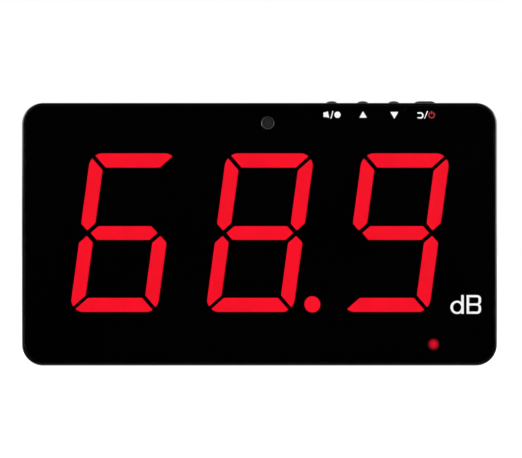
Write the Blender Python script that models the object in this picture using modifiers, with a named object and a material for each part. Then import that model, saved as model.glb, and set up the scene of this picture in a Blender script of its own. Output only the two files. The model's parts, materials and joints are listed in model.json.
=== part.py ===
"""Desk and wall sound level meter: a black case with three large seven-segment digits.

Metres, +Z up. The front faces -Y and the origin is the middle of the underside.
"""

import math

import bmesh
import bpy

# Fits
FIT = 0.0003                # gap between rigid pieces that seat on each other
FILM_GAP = 0.0001           # gap between the thin sheets behind the window
RUNNING_GAP = 0.0002        # radial gap round a pin, plunger or screw shank
OVERRUN = 0.0005            # how far a cutter or a joined shape runs past a face
WELD = 0.000001

# Roundness of curved outlines
CORNER_STEPS = 6
SMALL_STEPS = 3
ROUND_SIDES = 20
SMALL_SIDES = 12

# Digits, measured upright before they lean
DIGIT_WIDTH = 0.0458
DIGIT_HEIGHT = 0.0826
DIGIT_LEAN = 0.135          # sideways shift for each unit of height
SEGMENT_WIDTH = 0.0076
SEGMENT_GAP = 0.0017
DIGIT_CORNER = 0.0065
POINT_DIAMETER = 0.0085
POINT_OFFSET = 0.0273       # decimal point, right of the middle digit
POINT_DROP = 0.0371         # decimal point, below the digits' middle

# Digit modules
MODULE_SIDE_BORDER = 0.0045
MODULE_END_BORDER = 0.0037
MODULE_GAP = 0.00445
MODULE_CORNER = 0.001
DIFFUSER_THICKNESS = 0.0008
DIFFUSER_INSET = 0.0008
REFLECTOR_DEPTH = 0.0075
DIGIT_BOARD_THICKNESS = 0.0012
DIGIT_BOARD_INSET = 0.001
LED_SIDE = 0.003
LED_HEIGHT = 0.0019
LED_PITCH = 0.009
LED_COLUMN = (-1, 0, 1)     # places of the LEDs along a segment, in pitches
PIN_SIDE = 0.0006
PIN_PITCH = 0.00254
PIN_COUNT = 5
PIN_EDGE = 0.004            # pin row, in from the module's end

# Case
SIDE_MARGIN = 0.01962       # case edge to the outer digit module
TOP_MARGIN = 0.0222
BOTTOM_MARGIN = 0.0238
CORNER_RADIUS = 0.011
WALL = 0.0022
RIM = 0.0014                # case edge left round the window
FRONT_WALL = 0.0018
FRONT_EDGE_RADIUS = 0.0012
REAR_EDGE_RADIUS = 0.0025
EDGE_STEPS = 3
LAP = 0.0011                # half-lap joint between the two shells
LAP_DEPTH = 0.002

# Window stack
WINDOW_RECESS = 0.0003
WINDOW_GAP = 0.0002
WINDOW_THICKNESS = 0.002
MASK_THICKNESS = 0.00025
ADHESIVE_THICKNESS = 0.0003
ADHESIVE_INSET = 0.0006     # in from the window's edge
ADHESIVE_WIDTH = 0.0025

# Main board and what stands on it
BOARD_SPACING = 0.003
BOARD_THICKNESS = 0.0016
BOARD_BOSS_GAP = 0.001      # board's side to the case screws' bosses
BOARD_TOP_INSET = 0.0085
BOARD_BOTTOM_INSET = 0.0065
BOARD_TAB_HEIGHT = 0.012
BOARD_TAB_INSET = 0.0045
BOARD_COVER = 0.00055       # board's back to the case's parting line
BOARD_SCREW_INSET = 0.0075  # in from the board's side and off the digit modules
BUZZER_DIAMETER = 0.012
BUZZER_HEIGHT = 0.0054
BUZZER_HOLE = 0.0024
BUZZER_HOLE_DEPTH = 0.0015
BUZZER_INSET = 0.0355       # in from the board's right-hand side
BUZZER_Z = 0.044
BUZZER_AIR = 0.00065
CAPACITOR_DIAMETER = 0.0063
CAPACITOR_HEIGHT = 0.0052
CAPACITOR_GROOVE = 0.0003
CAPACITOR_INSET = 0.0155
CAPACITOR_Z = (0.030, 0.042)
CONTROLLER_SIDE = 0.010
CONTROLLER_HEIGHT = 0.0014
CONTROLLER_INSET = 0.0475   # in from the board's left-hand side
CONTROLLER_Z = 0.062
DRIVER_LENGTH = 0.0103
DRIVER_WIDTH = 0.0075
DRIVER_HEIGHT = 0.0016
DRIVER_X = 0.014
DRIVER_Z = 0.055
CRYSTAL_LENGTH = 0.0112
CRYSTAL_WIDTH = 0.0046
CRYSTAL_HEIGHT = 0.0035
CRYSTAL_DROP = 0.014        # below the controller
CHIP_CHAMFER = 0.0003

# Power socket in the right-hand wall
SOCKET_WIDTH = 0.00894
SOCKET_HEIGHT = 0.00326
SOCKET_LENGTH = 0.0074
SOCKET_WALL = 0.0003
SOCKET_DEPTH = 0.0062
TONGUE_WIDTH = 0.0067
TONGUE_THICKNESS = 0.0007
TONGUE_LENGTH = 0.0045
SOCKET_Z = 0.030
SOCKET_CLEARANCE = 0.0006   # opening in the wall, round the socket

# Microphone
MIC_X = 0.0043
MIC_DROP = 0.0103           # below the top edge
MIC_HOLE = 0.0062
MIC_DIAMETER = 0.006
MIC_LENGTH = 0.005
FELT_THICKNESS = 0.0015
BOOT_WALL = 0.0016
BOOT_FLANGE = 0.0012
BOOT_FLANGE_THICKNESS = 0.0012
MIC_LEAD_DIAMETER = 0.0006
MIC_LEAD_SPACING = 0.00254

# Status light
STATUS_INSET = 0.0326       # in from the right-hand edge
STATUS_RISE = 0.0108
STATUS_WINDOW = 0.0046
LIGHT_PIPE_DIAMETER = 0.0048
LIGHT_PIPE_FLANGE = 0.001
STATUS_LED_SIDE = 0.0028
STATUS_LED_HEIGHT = 0.0016

# Keys on the top edge
KEY_NAMES = ("mute", "up", "down", "power")
KEY_LENGTHS = (0.006, 0.006, 0.006, 0.011)
KEY_WIDTH = 0.006
KEY_PROUD = 0.0016
KEY_EDGE_RADIUS = 0.0013
KEY_PITCH = 0.0162
LAST_KEY_INSET = 0.0368     # power key, in from the right-hand edge
KEY_Y = -0.001
KEY_FLANGE = 0.0012
KEY_FLANGE_THICKNESS = 0.0012
KEY_STEM_DIAMETER = 0.0034
KEY_STEM_LENGTH = 0.0022
KEY_TRAVEL = 0.0005
PLUNGER_DIAMETER = 0.003
PLUNGER_PROUD = 0.0022
PLUNGER_LENGTH = 0.0042
SWITCH_WIDTH = 0.0062
SWITCH_HEIGHT = 0.0065

# Fold-out stand
STAND_WIDTH = 0.058
STAND_TIP_WIDTH = 0.050
STAND_LENGTH = 0.085        # hinge to tip
STAND_THICKNESS = 0.003
STAND_CORNER = 0.006
STAND_RECESS = 0.0002
STAND_SIDE_GAP = 0.0005
STAND_FLOOR = 0.002
STAND_HEEL = 0.0033
STAND_OPENING = 35.0        # degrees to the stop
NOTCH_RADIUS = 0.009
BARREL_RADIUS = 0.0022
TIP_Z = 0.009               # leg's tip, above the underside
HINGE_PIN_DIAMETER = 0.002
HINGE_PIN_GRIP = 0.0085     # length of pin inside the leg
HINGE_LUG_LENGTH = 0.0065
HINGE_LUG_HEIGHT = 0.008
POCKET_WALL = 0.0016
SCOOP_WIDTH = 0.022
SCOOP_DEPTH = 0.0055
SCOOP_DROP = 0.003          # scoop's lower edge, below the leg's tip
SCOOP_CORNER = 0.003

# Wall hanging and vents
KEYHOLE_X = 0.080
KEYHOLE_Z = 0.104
KEYHOLE_MOUTH = 0.009
KEYHOLE_SLOT = 0.0046
KEYHOLE_RISE = 0.008
KEYHOLE_POCKET = 0.0096
KEYHOLE_POCKET_DEPTH = 0.0042
KEYHOLE_PAD_WALL = 0.0015
VENT_LENGTH = 0.018
VENT_WIDTH = 0.0016
VENT_PITCH = 0.0036
VENT_COUNT = 6

# Screws
CASE_BOSS_DIAMETER = 0.007
CASE_POST_DIAMETER = 0.0086
CASE_SCREW_SHANK = 0.0026
CASE_SCREW_LENGTH = 0.012
CASE_HEAD_DIAMETER = 0.0054
CASE_HEAD_HEIGHT = 0.002
COUNTERBORE_DIAMETER = 0.0064
COUNTERBORE_DEPTH = 0.0042
BOARD_BOSS_DIAMETER = 0.006
BOARD_SCREW_SHANK = 0.0022
BOARD_SCREW_LENGTH = 0.008
BOARD_HEAD_DIAMETER = 0.0044
BOARD_HEAD_HEIGHT = 0.0017
PILOT_SPARE = 0.001         # pilot hole past the screw's tip
CROSS_WIDTH = 0.0007
CROSS_DEPTH = 0.001
CROSS_SHARE = 0.62          # recess arm as a share of the head's diameter

# Places that follow from the sizes above
MODULE_WIDTH = DIGIT_WIDTH + DIGIT_LEAN * DIGIT_HEIGHT + 2 * MODULE_SIDE_BORDER
MODULE_HEIGHT = DIGIT_HEIGHT + 2 * MODULE_END_BORDER
DIGIT_PITCH = MODULE_WIDTH + MODULE_GAP
DIGIT_PLACES = {"left": -DIGIT_PITCH, "middle": 0.0, "right": DIGIT_PITCH}
DIGIT_Z = BOTTOM_MARGIN + MODULE_HEIGHT / 2
CASE_WIDTH = 2 * (DIGIT_PITCH + MODULE_WIDTH / 2 + SIDE_MARGIN)
CASE_HEIGHT = BOTTOM_MARGIN + MODULE_HEIGHT + TOP_MARGIN
FRONT_STACK = WINDOW_RECESS + WINDOW_THICKNESS + FILM_GAP + MASK_THICKNESS + FILM_GAP
MODULE_STACK = DIFFUSER_THICKNESS + FIT + REFLECTOR_DEPTH + FIT + DIGIT_BOARD_THICKNESS
BOARD_STACK = BOARD_SPACING + BOARD_THICKNESS
REAR_STACK = FIT + BUZZER_HEIGHT + BUZZER_AIR + WALL
CASE_DEPTH = FRONT_STACK + MODULE_STACK + BOARD_STACK + REAR_STACK

FRONT_Y = -CASE_DEPTH / 2
BACK_Y = CASE_DEPTH / 2
WINDOW_FRONT = FRONT_Y + WINDOW_RECESS
WINDOW_BACK = WINDOW_FRONT + WINDOW_THICKNESS
MASK_FRONT = WINDOW_BACK + FILM_GAP
MASK_BACK = MASK_FRONT + MASK_THICKNESS
DIFFUSER_FRONT = MASK_BACK + FILM_GAP
REFLECTOR_FRONT = DIFFUSER_FRONT + DIFFUSER_THICKNESS + FIT
DIGIT_BOARD_FRONT = REFLECTOR_FRONT + REFLECTOR_DEPTH + FIT
DIGIT_BOARD_BACK = DIGIT_BOARD_FRONT + DIGIT_BOARD_THICKNESS
ADHESIVE_FRONT = MASK_BACK + FILM_GAP
LEDGE_FRONT = ADHESIVE_FRONT + ADHESIVE_THICKNESS + FILM_GAP
LEDGE_BACK = LEDGE_FRONT + FRONT_WALL
BOARD_FRONT = DIGIT_BOARD_BACK + BOARD_SPACING
BOARD_BACK = BOARD_FRONT + BOARD_THICKNESS
PART_BACK = BOARD_BACK + FIT    # where a piece on the board's back starts
PART_FRONT = BOARD_FRONT - FIT  # where a piece on the board's front starts
SPLIT_Y = BOARD_BACK + BOARD_COVER
COVER_FRONT = SPLIT_Y + FIT
COVER_INSIDE = BACK_Y - WALL

WINDOW_INSET = RIM + WINDOW_GAP
MIC_Z = CASE_HEIGHT - MIC_DROP
STATUS_X = CASE_WIDTH / 2 - STATUS_INSET
LAST_KEY_X = CASE_WIDTH / 2 - LAST_KEY_INSET
BOARD_SIDE = CASE_WIDTH / 2 - CORNER_RADIUS - CASE_BOSS_DIAMETER / 2 - BOARD_BOSS_GAP
BOARD_TOP = CASE_HEIGHT - BOARD_TOP_INSET
BUZZER_X = BOARD_SIDE - BUZZER_INSET
CAPACITOR_X = BOARD_SIDE - CAPACITOR_INSET
CONTROLLER_X = CONTROLLER_INSET - BOARD_SIDE
SOCKET_END = CASE_WIDTH / 2 - WALL - FIT
SOCKET_Y = PART_FRONT - SOCKET_HEIGHT / 2

HINGE_Y = BACK_Y - STAND_RECESS - BARREL_RADIUS
HINGE_Z = TIP_Z + STAND_LENGTH
LEG_BACK = BACK_Y - STAND_RECESS
LEG_FRONT = LEG_BACK - STAND_THICKNESS
RECESS_FLOOR = LEG_FRONT - FIT
HEEL_REACH = ((HINGE_Y - LEG_FRONT) * math.cos(math.radians(STAND_OPENING))
              + STAND_HEEL * math.sin(math.radians(STAND_OPENING)))
POCKET_FLOOR = HINGE_Y - max(HEEL_REACH, BARREL_RADIUS) - FIT
HEEL_SWING = math.hypot(STAND_HEEL, LEG_BACK - HINGE_Y)
POCKET_TOP = HINGE_Z + HEEL_SWING + FIT
POCKET_BOTTOM = HINGE_Z - BARREL_RADIUS - FIT
RECESS_HALF = STAND_WIDTH / 2 + STAND_SIDE_GAP
ISLAND_HALF = RECESS_HALF + WALL
LUG_END = ISLAND_HALF + HINGE_LUG_LENGTH
SCOOP_BOTTOM = TIP_Z - SCOOP_DROP
SCOOP_TOP = TIP_Z + NOTCH_RADIUS
SCOOP_FLOOR = BACK_Y - SCOOP_DEPTH

CASE_SCREWS = {
    f"{side}_{level}": (across * (CASE_WIDTH / 2 - CORNER_RADIUS), height)
    for side, across in (("left", -1), ("right", 1))
    for level, height in (("bottom", CORNER_RADIUS), ("middle", CASE_HEIGHT / 2),
                          ("top", CASE_HEIGHT - CORNER_RADIUS))
}
BOARD_SCREWS = {
    f"{side}_{level}": (across * (BOARD_SIDE - BOARD_SCREW_INSET), height)
    for side, across in (("left", -1), ("right", 1))
    for level, height in (("bottom", BOTTOM_MARGIN - BOARD_SCREW_INSET),
                          ("top", BOTTOM_MARGIN + MODULE_HEIGHT + BOARD_SCREW_INSET))
}
CASE_SEAT = BACK_Y - COUNTERBORE_DEPTH
CASE_SCREW_TIP = CASE_SEAT + FIT - CASE_SCREW_LENGTH
BOARD_SCREW_TIP = PART_BACK - BOARD_SCREW_LENGTH

# Key heights, from the top wall down to the switch
FLANGE_TOP = CASE_HEIGHT - WALL - FIT
FLANGE_BOTTOM = FLANGE_TOP - KEY_FLANGE_THICKNESS
STEM_BOTTOM = FLANGE_BOTTOM - KEY_STEM_LENGTH
PLUNGER_TOP = STEM_BOTTOM - FIT
SWITCH_TOP = PLUNGER_TOP - PLUNGER_PROUD
PLUNGER_BOTTOM = PLUNGER_TOP - PLUNGER_LENGTH
KEY_PLACES = [LAST_KEY_X - KEY_PITCH * (len(KEY_NAMES) - 1 - i) for i in range(len(KEY_NAMES))]

# Finishes: base colour, roughness, metallic
FINISHES = {
    "case_plastic": ((0.012, 0.012, 0.013), 0.42, 0.0),
    "window_acrylic": ((0.010, 0.010, 0.012), 0.06, 0.0),
    "mask_film": ((0.004, 0.004, 0.004), 0.5, 0.0),
    "foam_tape": ((0.01, 0.01, 0.01), 0.9, 0.0),
    "red_diffuser": ((0.9, 0.01, 0.03), 0.5, 0.0),
    "white_reflector": ((0.8, 0.8, 0.78), 0.5, 0.0),
    "circuit_board": ((0.01, 0.12, 0.05), 0.5, 0.0),
    "chip_epoxy": ((0.02, 0.02, 0.022), 0.55, 0.0),
    "plated_steel": ((0.6, 0.6, 0.58), 0.3, 1.0),
    "capsule_aluminium": ((0.7, 0.7, 0.7), 0.35, 1.0),
    "rubber": ((0.02, 0.02, 0.02), 0.8, 0.0),
    "felt": ((0.016, 0.016, 0.017), 0.95, 0.0),
    "status_red": ((0.7, 0.01, 0.03), 0.3, 0.0),
    "key_plastic": ((0.014, 0.014, 0.015), 0.45, 0.0),
}

PLATE_TURN = {"X": (math.pi / 2, 0, math.pi / 2), "Y": (math.pi / 2, 0, 0), "Z": (0, 0, 0)}
ROD_TURN = {"X": (0, math.pi / 2, 0), "Y": (-math.pi / 2, 0, 0), "Z": (0, 0, 0)}
FACE_FRONT = (math.pi / 2, 0, 0)
FACE_BACK = (-math.pi / 2, 0, 0)


# Scene housekeeping

def clear_scene():
    for obj in list(bpy.data.objects):
        bpy.data.objects.remove(obj, do_unlink=True)


def add_collection(name):
    collection = bpy.data.collections.new(name)
    bpy.context.scene.collection.children.link(collection)
    return collection


def add_material(name):
    colour, roughness, metallic = FINISHES[name]
    material = bpy.data.materials.new(name)
    material.use_nodes = True
    shader = material.node_tree.nodes["Principled BSDF"]
    shader.inputs["Base Color"].default_value = (*colour, 1)
    shader.inputs["Roughness"].default_value = roughness
    shader.inputs["Metallic"].default_value = metallic
    return material


def dress(obj, finish):
    obj.data.materials.clear()
    obj.data.materials.append(bpy.data.materials.get(finish) or add_material(finish))
    return obj


def add_object(name, data, location, turn=(0, 0, 0)):
    obj = bpy.data.objects.new(name, data)
    obj.location = location
    obj.rotation_euler = turn
    PARTS.objects.link(obj)
    return obj


def add_pivot(name, location, children):
    """An empty on a joint's axis that carries the pieces of one moving body."""
    pivot = add_object(name, None, location)
    bpy.context.view_layer.update()
    for child in children:
        child.parent = pivot
        child.matrix_parent_inverse = pivot.matrix_world.inverted()


# Outlines, as lists of points in a plane

def arc(centre, radius, start, end, steps):
    """Points of a round stretch between two angles in degrees, both ends included."""
    angles = [math.radians(start + (end - start) * step / steps) for step in range(steps + 1)]
    return [(centre[0] + radius * math.cos(a), centre[1] + radius * math.sin(a)) for a in angles]


def circle(diameter, centre=(0, 0), sides=ROUND_SIDES):
    return arc(centre, diameter / 2, 0, 360 - 360 / sides, sides - 1)


def slot(length, width, centre=(0, 0), steps=6):
    """A bar with round ends, lying along the first axis."""
    reach = (length - width) / 2
    right = arc((centre[0] + reach, centre[1]), width / 2, -90, 90, steps)
    left = arc((centre[0] - reach, centre[1]), width / 2, 90, 270, steps)
    return right + left


def rounded_rectangle(width, height, radius, centre=(0, 0), steps=CORNER_STEPS):
    points = []
    for start, across, up in ((0, 1, 1), (90, -1, 1), (180, -1, -1), (270, 1, -1)):
        corner = (centre[0] + across * (width / 2 - radius), centre[1] + up * (height / 2 - radius))
        points += arc(corner, radius, start, start + 90, steps)
    return points


def case_outline(inset):
    """The case's front outline, moved inwards."""
    return rounded_rectangle(CASE_WIDTH - 2 * inset, CASE_HEIGHT - 2 * inset, CORNER_RADIUS - inset,
                             (0, CASE_HEIGHT / 2))


def mirrored(points, across, up):
    """The outline mirrored sideways or upside down, still running the same way round."""
    turned_over = [(across * u, up * v) for u, v in points]
    return turned_over[::-1] if across * up < 0 else turned_over


def digit_segments():
    """The seven upright segments about the digit's middle, with mitred, evenly spaced ends."""
    half_width = DIGIT_WIDTH / 2
    half_height = DIGIT_HEIGHT / 2
    setback = SEGMENT_GAP / math.sqrt(2)
    mitre = math.degrees(math.acos(setback / (math.sqrt(2) * DIGIT_CORNER)))
    corner = (half_width - DIGIT_CORNER, half_height - DIGIT_CORNER)
    inner_u = half_width - SEGMENT_WIDTH
    inner_v = half_height - SEGMENT_WIDTH
    top_right = [(inner_u - setback, inner_v)] + arc(corner, DIGIT_CORNER, 45 + 90 - mitre, 90, SMALL_STEPS)
    top = top_right + mirrored(top_right, -1, 1)
    side = [(half_width, setback + SEGMENT_WIDTH / 2)]
    side += arc(corner, DIGIT_CORNER, 0, mitre - 45, SMALL_STEPS)
    side += [(inner_u, inner_v - setback), (inner_u, setback + SEGMENT_WIDTH / 2)]
    side += [(half_width - SEGMENT_WIDTH / 2, setback)]
    reach = half_width - SEGMENT_WIDTH / 2 - setback
    shoulder = reach - SEGMENT_WIDTH / 2
    end = [(shoulder, -SEGMENT_WIDTH / 2), (reach, 0), (shoulder, SEGMENT_WIDTH / 2)]
    middle = end + [(-u, -v) for u, v in end]
    sides = [mirrored(side, across, up) for across in (1, -1) for up in (1, -1)]
    return [top, mirrored(top, 1, -1), middle] + sides


def leaned(points, centre):
    """Upright digit points, leaned to the right and moved to the digit's middle."""
    return [(centre[0] + u + DIGIT_LEAN * v, centre[1] + v) for u, v in points]


def digit_windows(place):
    """Every lit area of one digit, the middle one with its decimal point."""
    centre = (DIGIT_PLACES[place], DIGIT_Z)
    windows = [leaned(segment, centre) for segment in digit_segments()]
    if place == "middle":
        windows.append(circle(POINT_DIAMETER, (POINT_OFFSET, DIGIT_Z - POINT_DROP)))
    return windows


def led_places(place):
    """Centres of the LEDs behind one digit: three to a segment, one to the decimal point."""
    column = DIGIT_WIDTH / 2 - SEGMENT_WIDTH / 2
    row = DIGIT_HEIGHT / 2 - SEGMENT_WIDTH / 2
    upright = [(LED_PITCH * k, v) for k in LED_COLUMN for v in (-row, 0, row)]
    upright += [(u, v + LED_PITCH * k)
                for k in LED_COLUMN for u in (-column, column) for v in (-row / 2, row / 2)]
    places = leaned(upright, (DIGIT_PLACES[place], DIGIT_Z))
    if place == "middle":
        places.append((POINT_OFFSET, DIGIT_Z - POINT_DROP))
    return places


def leg_outline(gap):
    """The stand leg seen from behind, with its hinge at the middle of the top edge."""
    top = STAND_HEEL + gap
    tip = -STAND_LENGTH - gap
    half = STAND_WIDTH / 2 + gap
    tip_half = STAND_TIP_WIDTH / 2 + gap
    corner = STAND_CORNER + gap
    left = arc((corner - tip_half, tip + corner), corner, 180, 270, CORNER_STEPS)
    right = arc((tip_half - corner, tip + corner), corner, 270, 360, CORNER_STEPS)
    return [(half, top), (-half, top)] + left + right


# Solids

def plate(name, loops, span, facing="Y", centre=(0, 0)):
    """A flat piece: the first loop is its outline and any others inside it are holes.

    It lies across the facing axis and fills the span along it.
    """
    curve = bpy.data.curves.new(name, "CURVE")
    curve.dimensions = "2D"
    curve.fill_mode = "BOTH"
    curve.extrude = (span[1] - span[0]) / 2
    for loop in loops:
        spline = curve.splines.new("POLY")
        spline.points.add(len(loop) - 1)
        for point, (across, up) in zip(spline.points, loop):
            point.co = (across, up, 0, 1)
        spline.use_cyclic_u = True
    middle = (span[0] + span[1]) / 2
    location = {"X": (middle, *centre), "Y": (centre[0], middle, centre[1]), "Z": (*centre, middle)}
    return solid(add_object(name, curve, location[facing], PLATE_TURN[facing]))


def solid(curve_object):
    """The curve object turned into a welded mesh object with its name and place."""
    name = curve_object.name
    bpy.context.view_layer.update()
    graph = bpy.context.evaluated_depsgraph_get()
    mesh = bpy.data.meshes.new_from_object(curve_object.evaluated_get(graph))
    work = bmesh.new()
    work.from_mesh(mesh)
    bmesh.ops.remove_doubles(work, verts=work.verts, dist=WELD)
    bmesh.ops.dissolve_limit(work, angle_limit=math.radians(0.1), verts=work.verts, edges=work.edges)
    bmesh.ops.recalc_face_normals(work, faces=work.faces)
    work.to_mesh(mesh)
    work.free()
    location = curve_object.location.copy()
    turn = curve_object.rotation_euler.copy()
    bpy.data.objects.remove(curve_object, do_unlink=True)
    return add_object(name, mesh, location, turn)


def rod(name, axis, span, centre, diameter, sides=ROUND_SIDES):
    """A round bar along one axis. The centre gives its other two coordinates in order."""
    mesh = bpy.data.meshes.new(name)
    work = bmesh.new()
    bmesh.ops.create_cone(work, cap_ends=True, segments=sides, radius1=diameter / 2,
                          radius2=diameter / 2, depth=span[1] - span[0])
    work.to_mesh(mesh)
    work.free()
    middle = (span[0] + span[1]) / 2
    location = {"X": (middle, *centre), "Y": (centre[0], middle, centre[1]), "Z": (*centre, middle)}
    return add_object(name, mesh, location[axis], ROD_TURN[axis])


def block(name, centre, size, chamfer=0.0):
    return block_set(name, [(centre, size)], chamfer)


def block_set(name, boxes, chamfer=0.0):
    """One mesh of separate boxes, each given by its centre and size. The origin is the first centre."""
    origin = boxes[0][0]
    mesh = bpy.data.meshes.new(name)
    work = bmesh.new()
    for centre, size in boxes:
        made = bmesh.ops.create_cube(work, size=1)["verts"]
        bmesh.ops.scale(work, vec=size, verts=made)
        bmesh.ops.translate(work, vec=[c - o for c, o in zip(centre, origin)], verts=made)
    work.to_mesh(mesh)
    work.free()
    obj = add_object(name, mesh, origin)
    if chamfer:
        bevel = obj.modifiers.new("chamfer", "BEVEL")
        bevel.width = chamfer
        bevel.segments = 1
    return obj


def turned(name, profile, location, turn, sides=ROUND_SIDES):
    """A turned piece. The profile runs from the top of the axis down the outside to its foot."""
    mesh = bpy.data.meshes.new(name)
    edges = [(i, i + 1) for i in range(len(profile) - 1)]
    mesh.from_pydata([(radius, 0, height) for radius, height in profile], edges, [])
    obj = add_object(name, mesh, location, turn)
    screw = obj.modifiers.new("turn", "SCREW")
    screw.steps = sides
    screw.render_steps = sides
    screw.use_merge_vertices = True
    screw.merge_threshold = WELD
    return obj


def round_rim(obj, front, radius, steps=EDGE_STEPS):
    """Rounds the rim of a plate's front (or back) face, which lies at the end of its local Z."""
    work = bmesh.new()
    work.from_mesh(obj.data)
    level = max(v.co.z for v in work.verts) if front else min(v.co.z for v in work.verts)
    rim = [e for e in work.edges if all(abs(v.co.z - level) < WELD for v in e.verts)]
    bmesh.ops.bevel(work, geom=rim, offset=radius, segments=steps, profile=0.5, affect="EDGES",
                    clamp_overlap=True)
    work.to_mesh(obj.data)
    work.free()
    return obj


def use_tools(obj, tools, operation):
    for tool in tools:
        PARTS.objects.unlink(tool)
        CUTTERS.objects.link(tool)
        tool.hide_render = True
        tool.display_type = "WIRE"
        boolean = obj.modifiers.new(tool.name, "BOOLEAN")
        boolean.operation = operation
        boolean.solver = "EXACT"
        boolean.object = tool
    return obj


def cut(obj, *tools):
    return use_tools(obj, tools, "DIFFERENCE")


def join(obj, *tools):
    return use_tools(obj, tools, "UNION")


# Sub-parts

def make_front_case():
    """Front shell: window recess, front wall with its openings, and the screw bosses."""
    case = round_rim(plate("front_case", [case_outline(0)], (FRONT_Y, SPLIT_Y)), True, FRONT_EDGE_RADIUS)
    aperture = rounded_rectangle(2 * DIGIT_PITCH + MODULE_WIDTH + 2 * FIT, MODULE_HEIGHT + 2 * FIT,
                                 MODULE_CORNER, (0, DIGIT_Z), SMALL_STEPS)
    wall_span = (LEDGE_FRONT - OVERRUN, LEDGE_BACK + OVERRUN)
    boot = MIC_DIAMETER + 2 * (RUNNING_GAP + BOOT_WALL + RUNNING_GAP)
    pipe = LIGHT_PIPE_DIAMETER + 2 * RUNNING_GAP
    lap_span = (SPLIT_Y - LAP_DEPTH, SPLIT_Y + OVERRUN)
    cut(case,
        plate("window_recess_cut", [case_outline(RIM)], (FRONT_Y - OVERRUN, LEDGE_FRONT)),
        plate("front_cavity_cut", [case_outline(WALL)], (LEDGE_BACK, SPLIT_Y + OVERRUN)),
        plate("lap_cut", [case_outline(WALL - LAP)], lap_span),
        plate("display_cut", [aperture], wall_span),
        rod("boot_cut", "Y", wall_span, (MIC_X, MIC_Z), boot),
        rod("pipe_cut", "Y", wall_span, (STATUS_X, STATUS_RISE), pipe))
    case_boss = (LEDGE_BACK - OVERRUN, SPLIT_Y)
    board_boss = (LEDGE_BACK - OVERRUN, PART_FRONT)
    for name, place in CASE_SCREWS.items():
        join(case, rod(f"case_boss_{name}", "Y", case_boss, place, CASE_BOSS_DIAMETER, SMALL_SIDES))
    for name, place in BOARD_SCREWS.items():
        join(case, rod(f"board_boss_{name}", "Y", board_boss, place, BOARD_BOSS_DIAMETER, SMALL_SIDES))
    for name, place in CASE_SCREWS.items():
        pilot = (CASE_SCREW_TIP - PILOT_SPARE, SPLIT_Y + OVERRUN)
        bore = CASE_SCREW_SHANK + 2 * RUNNING_GAP
        cut(case, rod(f"case_pilot_{name}", "Y", pilot, place, bore, SMALL_SIDES))
    for name, place in BOARD_SCREWS.items():
        pilot = (BOARD_SCREW_TIP - PILOT_SPARE, PART_FRONT + OVERRUN)
        bore = BOARD_SCREW_SHANK + 2 * RUNNING_GAP
        cut(case, rod(f"board_pilot_{name}", "Y", pilot, place, bore, SMALL_SIDES))
    top_span = (CASE_HEIGHT - WALL - OVERRUN, CASE_HEIGHT + OVERRUN)
    for name, length, x in zip(KEY_NAMES, KEY_LENGTHS, KEY_PLACES):
        cut(case, plate(f"{name}_key_cut", [key_outline(length, FIT)], top_span, "Z", (x, KEY_Y)))
    opening = slot(SOCKET_WIDTH + 2 * SOCKET_CLEARANCE, SOCKET_HEIGHT + 2 * SOCKET_CLEARANCE)
    side_span = (CASE_WIDTH / 2 - WALL - OVERRUN, CASE_WIDTH / 2 + OVERRUN)
    upright = [(across, along) for along, across in opening]
    cut(case, plate("socket_cut", [upright], side_span, "X", (SOCKET_Y, SOCKET_Z)))
    dress(case, "case_plastic")


def make_window():
    """Flat acrylic front with the microphone's hole."""
    loops = [case_outline(WINDOW_INSET), circle(MIC_HOLE, (MIC_X, MIC_Z))]
    dress(plate("front_window", loops, (WINDOW_FRONT, WINDOW_BACK)), "window_acrylic")


def make_mask():
    """Black film behind the window, open where light comes through."""
    loops = [case_outline(WINDOW_INSET), circle(MIC_HOLE, (MIC_X, MIC_Z)),
             circle(STATUS_WINDOW, (STATUS_X, STATUS_RISE))]
    for place in DIGIT_PLACES:
        loops += digit_windows(place)
    dress(plate("mask_film", loops, (MASK_FRONT, MASK_BACK)), "mask_film")


def make_adhesive():
    """Foam tape frame that holds the window to the front wall."""
    outer = WINDOW_INSET + ADHESIVE_INSET
    loops = [case_outline(outer), case_outline(outer + ADHESIVE_WIDTH)]
    span = (ADHESIVE_FRONT, ADHESIVE_FRONT + ADHESIVE_THICKNESS)
    dress(plate("window_adhesive", loops, span), "foam_tape")


def module_outline(place, inset):
    return rounded_rectangle(MODULE_WIDTH - 2 * inset, MODULE_HEIGHT - 2 * inset, MODULE_CORNER,
                             (DIGIT_PLACES[place], DIGIT_Z), SMALL_STEPS)


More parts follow.
